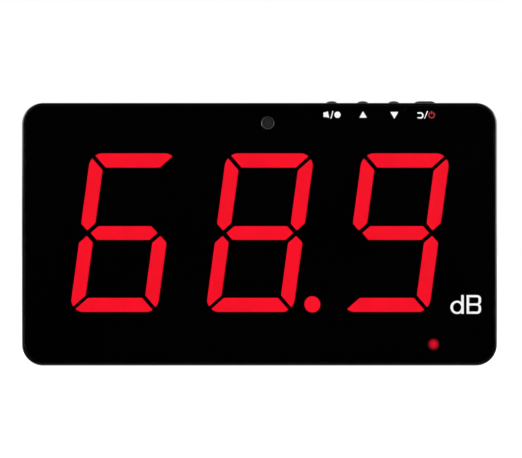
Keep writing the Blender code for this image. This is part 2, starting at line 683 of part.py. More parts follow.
def make_digit_module(place):
    """One digit: diffuser sheet, reflector block with a well for each segment, and LED board."""
    diffuser_span = (DIFFUSER_FRONT, DIFFUSER_FRONT + DIFFUSER_THICKNESS)
    diffuser = plate(f"digit_diffuser_{place}", [module_outline(place, DIFFUSER_INSET)], diffuser_span)
    dress(diffuser, "red_diffuser")
    loops = [module_outline(place, 0)] + digit_windows(place)
    reflector_span = (REFLECTOR_FRONT, REFLECTOR_FRONT + REFLECTOR_DEPTH)
    dress(plate(f"digit_reflector_{place}", loops, reflector_span), "white_reflector")
    board_span = (DIGIT_BOARD_FRONT, DIGIT_BOARD_BACK)
    board = plate(f"digit_board_{place}", [module_outline(place, DIGIT_BOARD_INSET)], board_span)
    led_depth = LED_HEIGHT + OVERRUN
    leds = [((x, DIGIT_BOARD_FRONT + OVERRUN - led_depth / 2, z), (LED_SIDE, led_depth, LED_SIDE))
            for x, z in led_places(place)]
    pin_depth = PART_FRONT - DIGIT_BOARD_BACK + OVERRUN
    pin_row = MODULE_HEIGHT / 2 - PIN_EDGE
    pins = [((DIGIT_PLACES[place] + PIN_PITCH * (i - (PIN_COUNT - 1) / 2),
              PART_FRONT - pin_depth / 2, DIGIT_Z + up * pin_row), (PIN_SIDE, pin_depth, PIN_SIDE))
            for i in range(PIN_COUNT) for up in (-1, 1)]
    join(board, block_set(f"leds_{place}", leds), block_set(f"pins_{place}", pins))
    dress(board, "circuit_board")


def make_main_board():
    """Main circuit board, with a tab that carries the power socket and four screw holes."""
    tab_end = CASE_WIDTH / 2 - BOARD_TAB_INSET
    tab_bottom = SOCKET_Z - BOARD_TAB_HEIGHT / 2
    tab_top = SOCKET_Z + BOARD_TAB_HEIGHT / 2
    outline = [(-BOARD_SIDE, BOARD_BOTTOM_INSET), (BOARD_SIDE, BOARD_BOTTOM_INSET), (BOARD_SIDE, tab_bottom),
               (tab_end, tab_bottom), (tab_end, tab_top), (BOARD_SIDE, tab_top), (BOARD_SIDE, BOARD_TOP),
               (-BOARD_SIDE, BOARD_TOP)]
    bore = BOARD_SCREW_SHANK + 2 * RUNNING_GAP
    holes = [circle(bore, place, SMALL_SIDES) for place in BOARD_SCREWS.values()]
    dress(plate("main_board", [outline, *holes], (BOARD_FRONT, BOARD_BACK)), "circuit_board")


def make_chip(name, place, length, width, height):
    """A moulded chip on the board's back."""
    centre = (place[0], PART_BACK + height / 2, place[1])
    chip = block(name, centre, (length, height, width), CHIP_CHAMFER)
    dress(chip, "chip_epoxy")


def make_board_parts():
    """Chips, crystal, capacitors and buzzer on the board's back."""
    controller = (CONTROLLER_X, CONTROLLER_Z)
    make_chip("microcontroller", controller, CONTROLLER_SIDE, CONTROLLER_SIDE, CONTROLLER_HEIGHT)
    for side, across in (("left", -1), ("right", 1)):
        driver = (across * DRIVER_X, DRIVER_Z)
        make_chip(f"display_driver_{side}", driver, DRIVER_LENGTH, DRIVER_WIDTH, DRIVER_HEIGHT)
    crystal = plate("crystal", [slot(CRYSTAL_LENGTH, CRYSTAL_WIDTH)], (PART_BACK, PART_BACK + CRYSTAL_HEIGHT),
                    "Y", (CONTROLLER_X, CONTROLLER_Z - CRYSTAL_DROP))
    dress(crystal, "plated_steel")
    radius = CAPACITOR_DIAMETER / 2
    neck = radius - CAPACITOR_GROOVE
    low = CAPACITOR_GROOVE * 2
    can = [(0, CAPACITOR_HEIGHT), (neck, CAPACITOR_HEIGHT), (radius, CAPACITOR_HEIGHT - CAPACITOR_GROOVE),
           (radius, 3 * low), (neck, 2 * low), (radius, low), (radius, 0), (0, 0)]
    for number, z in enumerate(CAPACITOR_Z, start=1):
        capacitor = turned(f"capacitor_{number}", can, (CAPACITOR_X, PART_BACK, z), FACE_BACK, SMALL_SIDES)
        dress(capacitor, "capsule_aluminium")
    hole_floor = BUZZER_HEIGHT - BUZZER_HOLE_DEPTH
    drum = [(0, hole_floor), (BUZZER_HOLE / 2, hole_floor), (BUZZER_HOLE / 2, BUZZER_HEIGHT),
            (BUZZER_DIAMETER / 2, BUZZER_HEIGHT), (BUZZER_DIAMETER / 2, 0), (0, 0)]
    dress(turned("buzzer", drum, (BUZZER_X, PART_BACK, BUZZER_Z), FACE_BACK), "chip_epoxy")


def make_power_socket():
    """Metal power socket on the board's tab, with its tongue, facing out of the right-hand wall."""
    start = SOCKET_END - SOCKET_LENGTH
    centre = (SOCKET_Y, SOCKET_Z)
    shell = [(across, along) for along, across in slot(SOCKET_WIDTH, SOCKET_HEIGHT)]
    inside = slot(SOCKET_WIDTH - 2 * SOCKET_WALL, SOCKET_HEIGHT - 2 * SOCKET_WALL)
    mouth = [(across, along) for along, across in inside]
    floor = SOCKET_END - SOCKET_DEPTH
    socket = plate("power_socket", [shell], (start, SOCKET_END), "X", centre)
    cut(socket, plate("socket_mouth_cut", [mouth], (floor, SOCKET_END + OVERRUN), "X", centre))
    tongue_size = (TONGUE_LENGTH + OVERRUN, TONGUE_THICKNESS, TONGUE_WIDTH)
    tongue_x = floor - OVERRUN + tongue_size[0] / 2
    join(socket, block("socket_tongue", (tongue_x, SOCKET_Y, SOCKET_Z), tongue_size))
    dress(socket, "plated_steel")


def make_microphone():
    """Capsule in its rubber boot, felt in the window's hole, and two leads to the board."""
    place = (MIC_X, MIC_Z)
    capsule_front = MASK_BACK + FIT
    capsule_back = capsule_front + MIC_LENGTH
    felt_span = (capsule_front - FIT - FELT_THICKNESS, capsule_front - FIT)
    dress(rod("microphone_felt", "Y", felt_span, place, MIC_HOLE - 2 * FIT), "felt")
    capsule = rod("microphone_capsule", "Y", (capsule_front, capsule_back), place, MIC_DIAMETER)
    dress(capsule, "capsule_aluminium")
    inner = MIC_DIAMETER / 2 + RUNNING_GAP
    outer = inner + BOOT_WALL
    flange = outer + BOOT_FLANGE
    flange_top = capsule_front - LEDGE_BACK - FIT
    flange_foot = flange_top - BOOT_FLANGE_THICKNESS
    boot = [(inner, 0), (outer, 0), (outer, flange_top), (flange, flange_top), (flange, flange_foot),
            (outer, flange_foot), (outer, -MIC_LENGTH), (inner, -MIC_LENGTH), (inner, 0)]
    dress(turned("microphone_boot", boot, (MIC_X, capsule_front, MIC_Z), FACE_FRONT), "rubber")
    for side, across in (("left", -1), ("right", 1)):
        lead_place = (MIC_X + across * MIC_LEAD_SPACING / 2, MIC_Z)
        lead = rod(f"microphone_lead_{side}", "Y", (capsule_back + FIT, PART_FRONT), lead_place,
                   MIC_LEAD_DIAMETER, SMALL_SIDES)
        dress(lead, "plated_steel")


def make_status_light():
    """Red status LED on the board and the light pipe that brings it to the mask."""
    led_front = PART_FRONT - STATUS_LED_HEIGHT
    led = block("status_led", (STATUS_X, PART_FRONT - STATUS_LED_HEIGHT / 2, STATUS_RISE),
                (STATUS_LED_SIDE, STATUS_LED_HEIGHT, STATUS_LED_SIDE), CHIP_CHAMFER)
    dress(led, "status_red")
    pipe_front = MASK_BACK + FIT
    radius = LIGHT_PIPE_DIAMETER / 2
    flange_top = pipe_front - LEDGE_BACK - FIT
    flange_foot = flange_top - LIGHT_PIPE_FLANGE
    foot = pipe_front - led_front + FIT
    pipe = [(0, 0), (radius, 0), (radius, flange_top), (radius + LIGHT_PIPE_FLANGE, flange_top),
            (radius + LIGHT_PIPE_FLANGE, flange_foot), (radius, flange_foot), (radius, foot), (0, foot)]
    dress(turned("status_light_pipe", pipe, (STATUS_X, pipe_front, STATUS_RISE), FACE_FRONT), "status_red")


def key_outline(length, gap):
    """A key seen from above: round, or a bar with round ends."""
    if length <= KEY_WIDTH:
        return circle(KEY_WIDTH + 2 * gap)
    return slot(length + 2 * gap, KEY_WIDTH + 2 * gap, steps=ROUND_SIDES // 2)


def make_key(name, length, x):
    """One key on the top edge, with the switch below it. The key and the plunger travel down."""
    place = (x, KEY_Y)
    cap_span = (FLANGE_TOP - OVERRUN, CASE_HEIGHT + KEY_PROUD)
    key = plate(f"{name}_key", [key_outline(length, 0)], cap_span, "Z", place)
    round_rim(key, True, KEY_EDGE_RADIUS)
    stem_span = (STEM_BOTTOM, FLANGE_BOTTOM + OVERRUN)
    join(key,
         plate(f"{name}_flange", [key_outline(length, KEY_FLANGE)], (FLANGE_BOTTOM, FLANGE_TOP), "Z", place),
         rod(f"{name}_stem", "Z", stem_span, place, KEY_STEM_DIAMETER, SMALL_SIDES))
    dress(key, "key_plastic")
    plunger = rod(f"{name}_plunger", "Z", (PLUNGER_BOTTOM, PLUNGER_TOP), place, PLUNGER_DIAMETER, SMALL_SIDES)
    dress(plunger, "chip_epoxy")
    add_pivot(f"{name}_button", (x, KEY_Y, CASE_HEIGHT), (key, plunger))
    size = (SWITCH_WIDTH, 2 * (PART_FRONT - KEY_Y), SWITCH_HEIGHT)
    body = block(f"{name}_switch", (x, KEY_Y, SWITCH_TOP - SWITCH_HEIGHT / 2), size)
    bore_span = (PLUNGER_BOTTOM - KEY_TRAVEL - FIT, SWITCH_TOP + OVERRUN)
    bore = rod(f"{name}_bore", "Z", bore_span, place, PLUNGER_DIAMETER + 2 * RUNNING_GAP, SMALL_SIDES)
    dress(cut(body, bore), "chip_epoxy")


def stand_island():
    """What stays solid round the stand's recess inside the cover, with a lug for each hinge pin."""
    top = POCKET_TOP + POCKET_WALL
    bottom = SCOOP_BOTTOM - POCKET_WALL
    lug_top = HINGE_Z + HINGE_LUG_HEIGHT / 2
    lug_bottom = HINGE_Z - HINGE_LUG_HEIGHT / 2
    right = [(ISLAND_HALF, bottom), (ISLAND_HALF, lug_bottom), (LUG_END, lug_bottom), (LUG_END, lug_top),
             (ISLAND_HALF, lug_top), (ISLAND_HALF, top)]
    return right + [(-x, z) for x, z in reversed(right)]


def keyhole_pad(across):
    """What stays solid round a hanging slot inside the cover."""
    side = KEYHOLE_POCKET + 2 * KEYHOLE_PAD_WALL
    return rounded_rectangle(side, side + KEYHOLE_RISE, KEYHOLE_PAD_WALL,
                             (across * KEYHOLE_X, KEYHOLE_Z + KEYHOLE_RISE / 2), SMALL_STEPS)


def upright_slot(width, across):
    """A slot that runs up from a keyhole's mouth."""
    bar = slot(KEYHOLE_RISE + width, width)
    return [(across * KEYHOLE_X + side, KEYHOLE_Z + KEYHOLE_RISE / 2 + along) for along, side in bar]


def vent_slots(across):
    """Rows of vents over the buzzer, and the same on the other side."""
    rise = [VENT_PITCH * (i - (VENT_COUNT - 1) / 2) for i in range(VENT_COUNT)]
    return [slot(VENT_LENGTH, VENT_WIDTH, (across * BUZZER_X, BUZZER_Z + z), SMALL_STEPS) for z in rise]


def make_rear_cover():
    """Rear shell: stand recess with its hinge lugs, hanging slots, vents and screw posts."""
    cover = round_rim(plate("rear_cover", [case_outline(0)], (COVER_FRONT, BACK_Y)), False, REAR_EDGE_RADIUS)
    tongue_front = SPLIT_Y - LAP_DEPTH + FIT
    tongue = [case_outline(WALL - LAP + RUNNING_GAP)]
    join(cover, plate("lap_tongue", tongue, (tongue_front, COVER_FRONT + OVERRUN)))
    islands = [stand_island()] + [keyhole_pad(across) for across in (-1, 1)]
    islands += [circle(CASE_POST_DIAMETER, place) for place in CASE_SCREWS.values()]
    inside = COVER_FRONT - OVERRUN
    outside = BACK_Y + OVERRUN
    cut(cover,
        plate("tongue_opening_cut", [case_outline(WALL)], (tongue_front - OVERRUN, COVER_FRONT)),
        plate("cover_cavity_cut", [case_outline(WALL), *islands], (inside, COVER_INSIDE)))
    thin_bottom = SCOOP_TOP + POCKET_WALL
    thin_top = POCKET_BOTTOM - POCKET_WALL
    thin_back = RECESS_FLOOR - STAND_FLOOR
    scoop = rounded_rectangle(SCOOP_WIDTH, SCOOP_TOP - SCOOP_BOTTOM, SCOOP_CORNER,
                              (0, (SCOOP_TOP + SCOOP_BOTTOM) / 2), SMALL_STEPS)
    cut(cover,
        block("stand_thinning_cut", (0, (inside + thin_back) / 2, (thin_bottom + thin_top) / 2),
              (2 * RECESS_HALF, thin_back - inside, thin_top - thin_bottom)),
        plate("stand_recess_cut", [leg_outline(STAND_SIDE_GAP)], (RECESS_FLOOR, outside), "Y", (0, HINGE_Z)),
        block("heel_pocket_cut", (0, (POCKET_FLOOR + outside) / 2, (POCKET_TOP + POCKET_BOTTOM) / 2),
              (2 * RECESS_HALF, outside - POCKET_FLOOR, POCKET_TOP - POCKET_BOTTOM)),
        plate("finger_scoop_cut", [scoop], (SCOOP_FLOOR, outside)))
    through = (COVER_INSIDE - OVERRUN, outside)
    pocket_span = (COVER_INSIDE - KEYHOLE_POCKET_DEPTH, COVER_INSIDE)
    pin_bore = HINGE_PIN_DIAMETER + 2 * RUNNING_GAP
    for side, across in (("left", -1), ("right", 1)):
        lug_span = sorted(across * x for x in (RECESS_HALF - OVERRUN, LUG_END + OVERRUN))
        mouth = (across * KEYHOLE_X, KEYHOLE_Z)
        cut(cover,
            rod(f"pin_hole_{side}", "X", lug_span, (HINGE_Y, HINGE_Z), pin_bore, SMALL_SIDES),
            plate(f"keyhole_pocket_{side}", [upright_slot(KEYHOLE_POCKET, across)], pocket_span),
            rod(f"keyhole_mouth_{side}", "Y", through, mouth, KEYHOLE_MOUTH),
            plate(f"keyhole_slot_{side}", [upright_slot(KEYHOLE_SLOT, across)], through),
            plate(f"vent_cut_{side}", vent_slots(across), through))
    for name, place in CASE_SCREWS.items():
        bore = CASE_SCREW_SHANK + 2 * RUNNING_GAP
        cut(cover,
            rod(f"screw_bore_{name}", "Y", (inside, CASE_SEAT + OVERRUN), place, bore, SMALL_SIDES),
            rod(f"counterbore_{name}", "Y", (CASE_SEAT, outside), place, COUNTERBORE_DIAMETER))
    dress(cover, "case_plastic")


def make_stand():
    """Fold-out leg that swings on two pins, with a finger notch in its tip."""
    leg = plate("stand_leg", [leg_outline(0)], (LEG_FRONT, LEG_BACK), "Y", (0, HINGE_Z))
    half = STAND_WIDTH / 2
    axis = (HINGE_Y, HINGE_Z)
    join(leg, rod("hinge_barrel", "X", (-half, half), axis, 2 * BARREL_RADIUS))
    notch_span = (LEG_FRONT - OVERRUN, LEG_BACK + OVERRUN)
    cut(leg, rod("finger_notch_cut", "Y", notch_span, (0, TIP_Z), 2 * NOTCH_RADIUS))
    for side, across in (("left", -1), ("right", 1)):
        inner = half - HINGE_PIN_GRIP
        bore_span = sorted(across * x for x in (inner - FIT, half + OVERRUN))
        bore = HINGE_PIN_DIAMETER + 2 * RUNNING_GAP
        cut(leg, rod(f"barrel_bore_{side}", "X", bore_span, axis, bore, SMALL_SIDES))
        pin_span = sorted(across * x for x in (inner, LUG_END))
        pin = rod(f"stand_pin_{side}", "X", pin_span, axis, HINGE_PIN_DIAMETER, SMALL_SIDES)
        dress(pin, "plated_steel")
    dress(leg, "case_plastic")
    add_pivot("stand_hinge", (0, HINGE_Y, HINGE_Z), (leg,))


def make_screw(name, place, seat, head, shank, length):
    """A pan-head screw driven from behind, with a cross recess. The seat is its head's underside."""
    diameter, height = head
    radius = diameter / 2
    profile = [(0, height), (radius - height / 2, height), (radius, height / 2), (radius, 0),
               (shank / 2, 0), (shank / 2, shank / 2 - length), (0, -length)]
    screw = turned(name, profile, (place[0], seat, place[1]), FACE_BACK, SMALL_SIDES)
    arm = diameter * CROSS_SHARE
    depth = CROSS_DEPTH + OVERRUN
    middle = (place[0], seat + height + OVERRUN - depth / 2, place[1])
    cut(screw,
        block(f"{name}_cross_a", middle, (arm, depth, CROSS_WIDTH)),
        block(f"{name}_cross_b", middle, (CROSS_WIDTH, depth, arm)))
    dress(screw, "plated_steel")


def make_screws():
    for name, place in CASE_SCREWS.items():
        make_screw(f"case_screw_{name}", place, CASE_SEAT + FIT, (CASE_HEAD_DIAMETER, CASE_HEAD_HEIGHT),
                   CASE_SCREW_SHANK, CASE_SCREW_LENGTH)
    for name, place in BOARD_SCREWS.items():
        make_screw(f"board_screw_{name}", place, PART_BACK, (BOARD_HEAD_DIAMETER, BOARD_HEAD_HEIGHT),
                   BOARD_SCREW_SHANK, BOARD_SCREW_LENGTH)


def shade_round_pieces():
    for obj in PARTS.objects:
        if obj.type == "MESH":
            obj.data.shade_smooth()
            obj.data.set_sharp_from_angle(angle=math.radians(30))


clear_scene()
PARTS = add_collection("sound_level_meter")
CUTTERS = add_collection("cutters")
make_front_case()
make_window()
make_mask()
make_adhesive()
for digit_place in DIGIT_PLACES:
    make_digit_module(digit_place)
make_main_board()
make_board_parts()
make_power_socket()
make_microphone()
make_status_light()
for key_name, key_length, key_x in zip(KEY_NAMES, KEY_LENGTHS, KEY_PLACES):
    make_key(key_name, key_length, key_x)
make_rear_cover()
make_stand()
make_screws()
shade_round_pieces()
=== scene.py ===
"""Looks of a wall and desk sound level meter: shells, lit digits, printed signs and finishes.

Metres, +Z up, and the front faces -Y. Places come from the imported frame.
"""

import json

import bmesh
import bpy
import numpy as np
from mathutils import Matrix, Vector
from mathutils.geometry import tessellate_polygon


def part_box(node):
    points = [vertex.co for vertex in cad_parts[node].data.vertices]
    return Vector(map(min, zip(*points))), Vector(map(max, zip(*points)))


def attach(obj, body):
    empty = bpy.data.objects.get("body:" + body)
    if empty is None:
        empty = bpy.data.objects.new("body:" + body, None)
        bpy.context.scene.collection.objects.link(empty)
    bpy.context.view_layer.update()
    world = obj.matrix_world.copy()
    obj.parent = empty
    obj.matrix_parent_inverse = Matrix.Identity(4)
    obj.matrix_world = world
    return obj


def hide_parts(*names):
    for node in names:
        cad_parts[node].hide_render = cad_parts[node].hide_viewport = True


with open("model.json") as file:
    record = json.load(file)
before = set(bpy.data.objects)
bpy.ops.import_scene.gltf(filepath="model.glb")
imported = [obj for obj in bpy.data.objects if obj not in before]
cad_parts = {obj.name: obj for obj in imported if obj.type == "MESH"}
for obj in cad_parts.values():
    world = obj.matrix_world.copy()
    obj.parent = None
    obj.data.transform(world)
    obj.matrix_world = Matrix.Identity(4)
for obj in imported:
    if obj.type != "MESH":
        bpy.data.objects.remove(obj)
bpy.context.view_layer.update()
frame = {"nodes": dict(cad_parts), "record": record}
scene = bpy.context.scene


def middle(box):
    """Sideways and upward middle of a node's box."""
    return ((box[0].x + box[1].x) / 2, (box[0].z + box[1].z) / 2)


MM = 0.001
MERGE = 0.001 * MM
SLIVER = 0.002 * MM  # edges shorter than this are dissolved after a cut
OVERRUN = 0.5 * MM  # how far a cutter or a joined shape runs past a face
SHARP = np.radians(32)  # edges that turn more than this stay crisp
STRAIGHT = 1 - 1e-6  # two sides whose product is more than this lie in one line
LARGEST_ROUND = 0.499  # of the short side, so that a little of it is left between two rounds
CIRCLE_SIDES = 72
ROD_SIDES = 48

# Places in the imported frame
CASE_LOW, CASE_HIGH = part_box("front_case")
WINDOW_LOW, WINDOW_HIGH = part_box("front_window")
LEG_LOW, LEG_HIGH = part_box("stand_leg")
SOCKET_LOW, SOCKET_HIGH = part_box("power_socket")
SOCKET = ((SOCKET_LOW.y + SOCKET_HIGH.y) / 2, (SOCKET_LOW.z + SOCKET_HIGH.z) / 2)
SOCKET_SIZE = np.array([SOCKET_HIGH.y - SOCKET_LOW.y, SOCKET_HIGH.z - SOCKET_LOW.z])
MODULES = {place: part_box(f"digit_reflector_{place}") for place in ("left", "middle", "right")}
CASE_SCREWS = {f"{side}_{level}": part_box(f"case_screw_{side}_{level}")
               for side in ("left", "right") for level in ("bottom", "middle", "top")}
BOARD_SCREWS = [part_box(f"board_screw_{side}_{level}")
                for side in ("left", "right") for level in ("bottom", "top")]
MIC = middle(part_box("microphone_capsule"))
STATUS = middle(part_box("status_light_pipe"))
MASK_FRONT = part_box("mask_film")[0].y
TAPE_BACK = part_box("window_adhesive")[1].y
BOARD_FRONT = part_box("main_board")[0].y
DIFFUSER_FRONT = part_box("digit_diffuser_left")[0].y
TOP = CASE_HIGH.z
SPLIT = CASE_HIGH.y
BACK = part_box("rear_cover")[1].y

# Mouldings
CORNER_RADIUS = 11.0 * MM
FRONT_EDGE = 0.9 * MM
BACK_EDGE = 2.5 * MM
BREAK = 0.3 * MM  # broken edge round a hole or recess
RIM = 1.4 * MM  # case edge left round the window
WALL = 2.2 * MM
FRONT_WALL = 1.8 * MM
OPENING_CORNER = 1.0 * MM  # of the display's opening in the front wall
LEDGE_GAP = 0.1 * MM  # tape to ledge
LEDGE_FRONT = TAPE_BACK + LEDGE_GAP
LEDGE_BACK = LEDGE_FRONT + FRONT_WALL
LAP = 1.1 * MM
LAP_DEPTH = 2.0 * MM
LAP_GAP = 0.2 * MM
FIT = 0.3 * MM
PART_BREAK = 0.2 * MM  # broken edges on both sides of the parting line
COVER_FRONT = SPLIT + FIT
COVER_INSIDE = BACK - WALL
CASE_BOSS = 7.0 * MM
BOARD_BOSS = 6.0 * MM
CASE_POST = 8.6 * MM
COUNTERBORE = 6.4 * MM
SCREW_SEAT = 4.2 * MM  # down from the back
CASE_PILOT = 3.0 * MM
BOARD_PILOT = 2.6 * MM
PILOT_RUN = 1.0 * MM  # pilot hole past the screw's tip

# Window, microphone and status light
WINDOW_EDGE = 0.25 * MM
HOLE_DIAMETER = 6.2 * MM
HOLE_BREAK = 0.2 * MM  # chamfer round the microphone hole, outwards
HOLE_BREAK_DEPTH = 0.145 * MM
FELT_EDGE = 0.35 * MM
FELT_CROWN = 0.06 * MM  # the felt's middle, above its edge
FELT_SLOPE = ((0.6, 0.01 * MM), (0.9, 0.0))  # share of the radius in from the edge, and drop left there
SPOT_RADIUS = 3.5 * MM
SPOT_CORE = 0.6 * MM  # full brightness inside this radius
SPOT_FADE = 3.4 * MM  # dark outside this radius
SPOT_STRENGTH = 1.75
SPOT_THICKNESS = 0.04 * MM
SPOT_SHIFT = (-0.2 * MM, 0.2 * MM)  # spot, off the light pipe's middle, as in the photograph
BOOT_HOLE = 10.0 * MM
PIPE_HOLE = 5.2 * MM

# Digits, measured upright before they lean
READING = {"left": "6", "middle": "8", "right": "9"}
DARK_SEGMENTS = {"6": ("upper_right",), "8": (), "9": ("lower_left",)}
DIGIT_WIDTH = 45.8 * MM
DIGIT_HEIGHT = 82.6 * MM
DIGIT_LEAN = 0.135
SEGMENT_WIDTH = 7.6 * MM
SEGMENT_GAP = 1.7 * MM
DIGIT_CORNER = 6.5 * MM
SHARP_CORNER = 8.0 * MM  # rounding of the two corners that the lean makes sharp
POINT_DIAMETER = 8.5 * MM
POINT_OFFSET = 27.3 * MM
POINT_DROP = 37.1 * MM
LIGHT_FILM = 0.06 * MM
FILM_GAP = 0.02 * MM  # film to diffuser
LIGHT_INSET = 0.06 * MM  # light fades this far inside an opening's edge
# How far a segment's light stops short of its outer edge, sideways and upwards
LIGHT_TRIM = {"top": (0.0, 0.12 * MM), "bottom": (0.0, 0.2 * MM), "lower_left": (0.23 * MM, 0.0)}
UPPER_TRIM = 0.25 * MM  # extra gap at the top of the upper uprights
MIDDLE_INSET = 0.25 * MM  # the middle bar is narrower than the others
MIDDLE_DROP = 0.15 * MM
MIDDLE_TRIM = 0.28 * MM  # its light stops this far short of its points
WAIST_DROP = 0.35 * MM  # where the upright bars meet, below the digit's middle
WAIST_POINT = 3.7 * MM  # depth of their pointed ends
LIGHT_SHIFT = 0.2 * MM  # light, to the right of the openings' middle, as in the photograph
LIT_STRENGTH = (2.1, 2.3)
LED_PITCH = 9.0 * MM

# Printed signs
INK = 0.03 * MM
SIGN_DROP = 6.15 * MM  # middle of the key signs, below the top edge
UNIT_LEFT = 98.84 * MM
UNIT_FOOT = 26.82 * MM
UNIT_HEIGHT = 9.7 * MM
UNIT_STROKE = 1.32 * MM
UNIT_THIN_STROKE = 1.14 * MM
UNIT_BOWL_STROKE = 1.02 * MM
UNIT_BOWL = 3.45 * MM
UNIT_DIP = 0.11 * MM  # bowl's overshoot below the foot line
UNIT_LETTER_GAP = 1.49 * MM
UNIT_B_WIDTH = 7.48 * MM
UNIT_ROUND = 2.1 * MM
UNIT_HOLE_ROUND = 0.95 * MM
UNIT_HOLE_CORNER = 0.1 * MM  # at the stem
UNIT_PINCH = 62.0  # degrees of each bowl's arc before the waist

# Keys
KEYS = ("mute", "up", "down", "power")
KEY_WIDTH = 6.0 * MM
KEY_FLANGE = 1.2 * MM
KEY_FLANGE_THICKNESS = 1.2 * MM
KEY_STEM = 1.3 * MM  # stem, in from the key's side
KEY_CROWN = 1.3 * MM  # height of the domed top
KEY_CROWN_REACH = 2.9 * MM  # how far in the dome's curve runs
KEY_DOME_DROP = 0.2 * MM  # dome's middle, below the plain solid's flat top

# Stand
HINGE_Y = 10.6 * MM
HINGE_Z = 94.0 * MM
LEG_WIDTH = 58.0 * MM
LEG_TIP_WIDTH = 50.0 * MM
LEG_THICKNESS = 3.0 * MM
LEG_CORNER = 6.0 * MM
LEG_TOP_CORNER = 0.8 * MM  # just over the edge's round, which runs round the corner too
LEG_EDGE = 0.6 * MM
LEG_GAP = 0.5 * MM
BARREL_RADIUS = 2.18 * MM  # just inside the leg's back face
PIN_BORE = 2.4 * MM
PIN_GRIP = 8.8 * MM
NOTCH_RADIUS = 9.0 * MM
GRIP_COUNT = 5
GRIP_PITCH = 3.0 * MM
GRIP_WIDTH = 1.4 * MM
GRIP_LENGTH = 27.0 * MM
GRIP_DEPTH = 0.5 * MM
GRIP_EDGE = 0.2 * MM
GRIP_RISE = 14.5 * MM  # first groove, above the leg's tip
RECESS_FLOOR = 9.5 * MM
RECESS_BACKING = 2.0 * MM
POCKET_FLOOR = 7.75 * MM
POCKET_LOW = 91.5 * MM
POCKET_HIGH = 98.3 * MM
POCKET_WALL = 1.6 * MM
LUG_HEIGHT = 8.0 * MM
LUG_LENGTH = 6.5 * MM
SCOOP_WIDTH = 22.0 * MM
SCOOP_DEPTH = 5.5 * MM
SCOOP_DROP = 3.0 * MM
SCOOP_CORNER = 3.0 * MM

# Hanging slots and vents
HANG_X = 80.0 * MM
HANG_Z = 104.0 * MM
HANG_MOUTH = 9.0 * MM
HANG_SLOT = 4.6 * MM
HANG_RISE = 8.0 * MM
HANG_POCKET = 9.6 * MM
HANG_DEPTH = 4.2 * MM
HANG_WALL = 1.5 * MM
VENT_X = 72.0 * MM
VENT_Z = 44.0 * MM
VENT_LENGTH = 18.0 * MM
VENT_WIDTH = 1.6 * MM
VENT_PITCH = 3.6 * MM
VENT_COUNT = 6

# Power socket
SOCKET_WALL = 0.3 * MM
SOCKET_DEPTH = 6.2 * MM
SOCKET_CLEARANCE = 0.6 * MM
SOCKET_LIP = 0.12 * MM
TONGUE_WIDTH = 6.7 * MM
TONGUE_THICKNESS = 0.7 * MM
TONGUE_LENGTH = 4.5 * MM
TONGUE_CORNER = 0.12 * MM
CONTACT_PITCH = 0.8 * MM
GILT_START = 0.5  # share of each pitch before its contact
GASKET_DEPTH = 1.7 * MM
GASKET_WIDTH = 1.4 * MM
GASKET_GAP = 0.03 * MM

# Screws
HEAD_RADIUS = 2.7 * MM
HEAD_HEIGHT = 2.0 * MM
HEAD_ROUND = 1.2 * MM
SHANK_RADIUS = 1.3 * MM
SCREW_LENGTH = 12.0 * MM
TIP_RADIUS = 0.2 * MM
TIP_TAPER = 1.3 * MM
CROSS_WIDTH = 0.75 * MM
CROSS_ARM = 3.4 * MM
CROSS_DEPTH = 1.1 * MM
CROSS_CORNER = 0.1 * MM
CROSS_EDGE = 0.12 * MM

# Photograph's framing, and a studio in metres
IMAGE_WIDTH = 522
PIXELS_PER_METRE = 1931.0
CENTRE_PIXEL_OFFSET = (1.5, 5.25)  # image middle, right of and above the case's middle
CAMERA_DISTANCE = 1.5
SENSOR_WIDTH = 36.0
LAMPS = {  # place, size and power of each lamp, which faces straight across
    "left_softbox": ((-0.75, -0.35, 0.33), (1.4, 0.42), 5.8),
    "right_softbox": ((0.75, -0.35, 0.25), (1.4, 0.44), 11.0),
}
ROOM_FILL = 0.65
FLOOR_GLOW = 0.78
FLOOR_HALF = 6.0
FLOOR_CORNER = 0.1
FLOOR_THICKNESS = 0.02
CARD_RISE = 0.1 * MM
CARD_START = 1.5 * MM  # in front of the case
CARD_NEAR = 0.16  # half the black card's width at the case
CARD_FAR = 0.9  # and behind the camera
CARD_BEND = ((0.0, 0.07), 2.4, 182, 60, 30)  # arc of its curve up and over: middle, radius, angles, steps
LEFT_FLAG = (-0.6, (-2.4, 1.2), 0.1)  # low black flags beside the case: place, reach and height
RIGHT_FLAG = (0.6, (0.0, 1.2), 0.06)


# Outlines: points in a plane, with unit vectors that point outwards

def arc(centre, radius, start, end, steps=10):
    """Centre plus radius times (cos t, sin t), with t from start to end in degrees."""
    turn = np.radians(np.linspace(start, end, steps + 1))
    return np.asarray(centre) + radius * np.stack([np.cos(turn), np.sin(turn)], axis=1)


def circle(radius, centre=(0.0, 0.0), sides=CIRCLE_SIDES):
    """Centre plus radius times a unit vector that turns once round and also points outwards."""
    outward = arc((0.0, 0.0), 1.0, 0, 360 - 360 / sides, sides - 1)
    return np.asarray(centre) + radius * outward, outward


def outward_sides(corners):
    """Unit vectors out of the edge before each corner and the edge after it, for corners in order."""
    along = np.roll(corners, -1, axis=0) - corners
    along /= np.linalg.norm(along, axis=1, keepdims=True)
    after = np.stack([along[:, 1], -along[:, 0]], axis=1)
    return np.roll(after, 1, axis=0), after


def inset(corners, distance):
    """A convex polygon with every edge moved inwards: corner - distance (a + b) / (1 + a . b), where
    a and b point out of the two edges that meet there."""
    before, after = outward_sides(corners)
    return corners - distance * (before + after) / (1 + (before * after).sum(axis=1, keepdims=True))


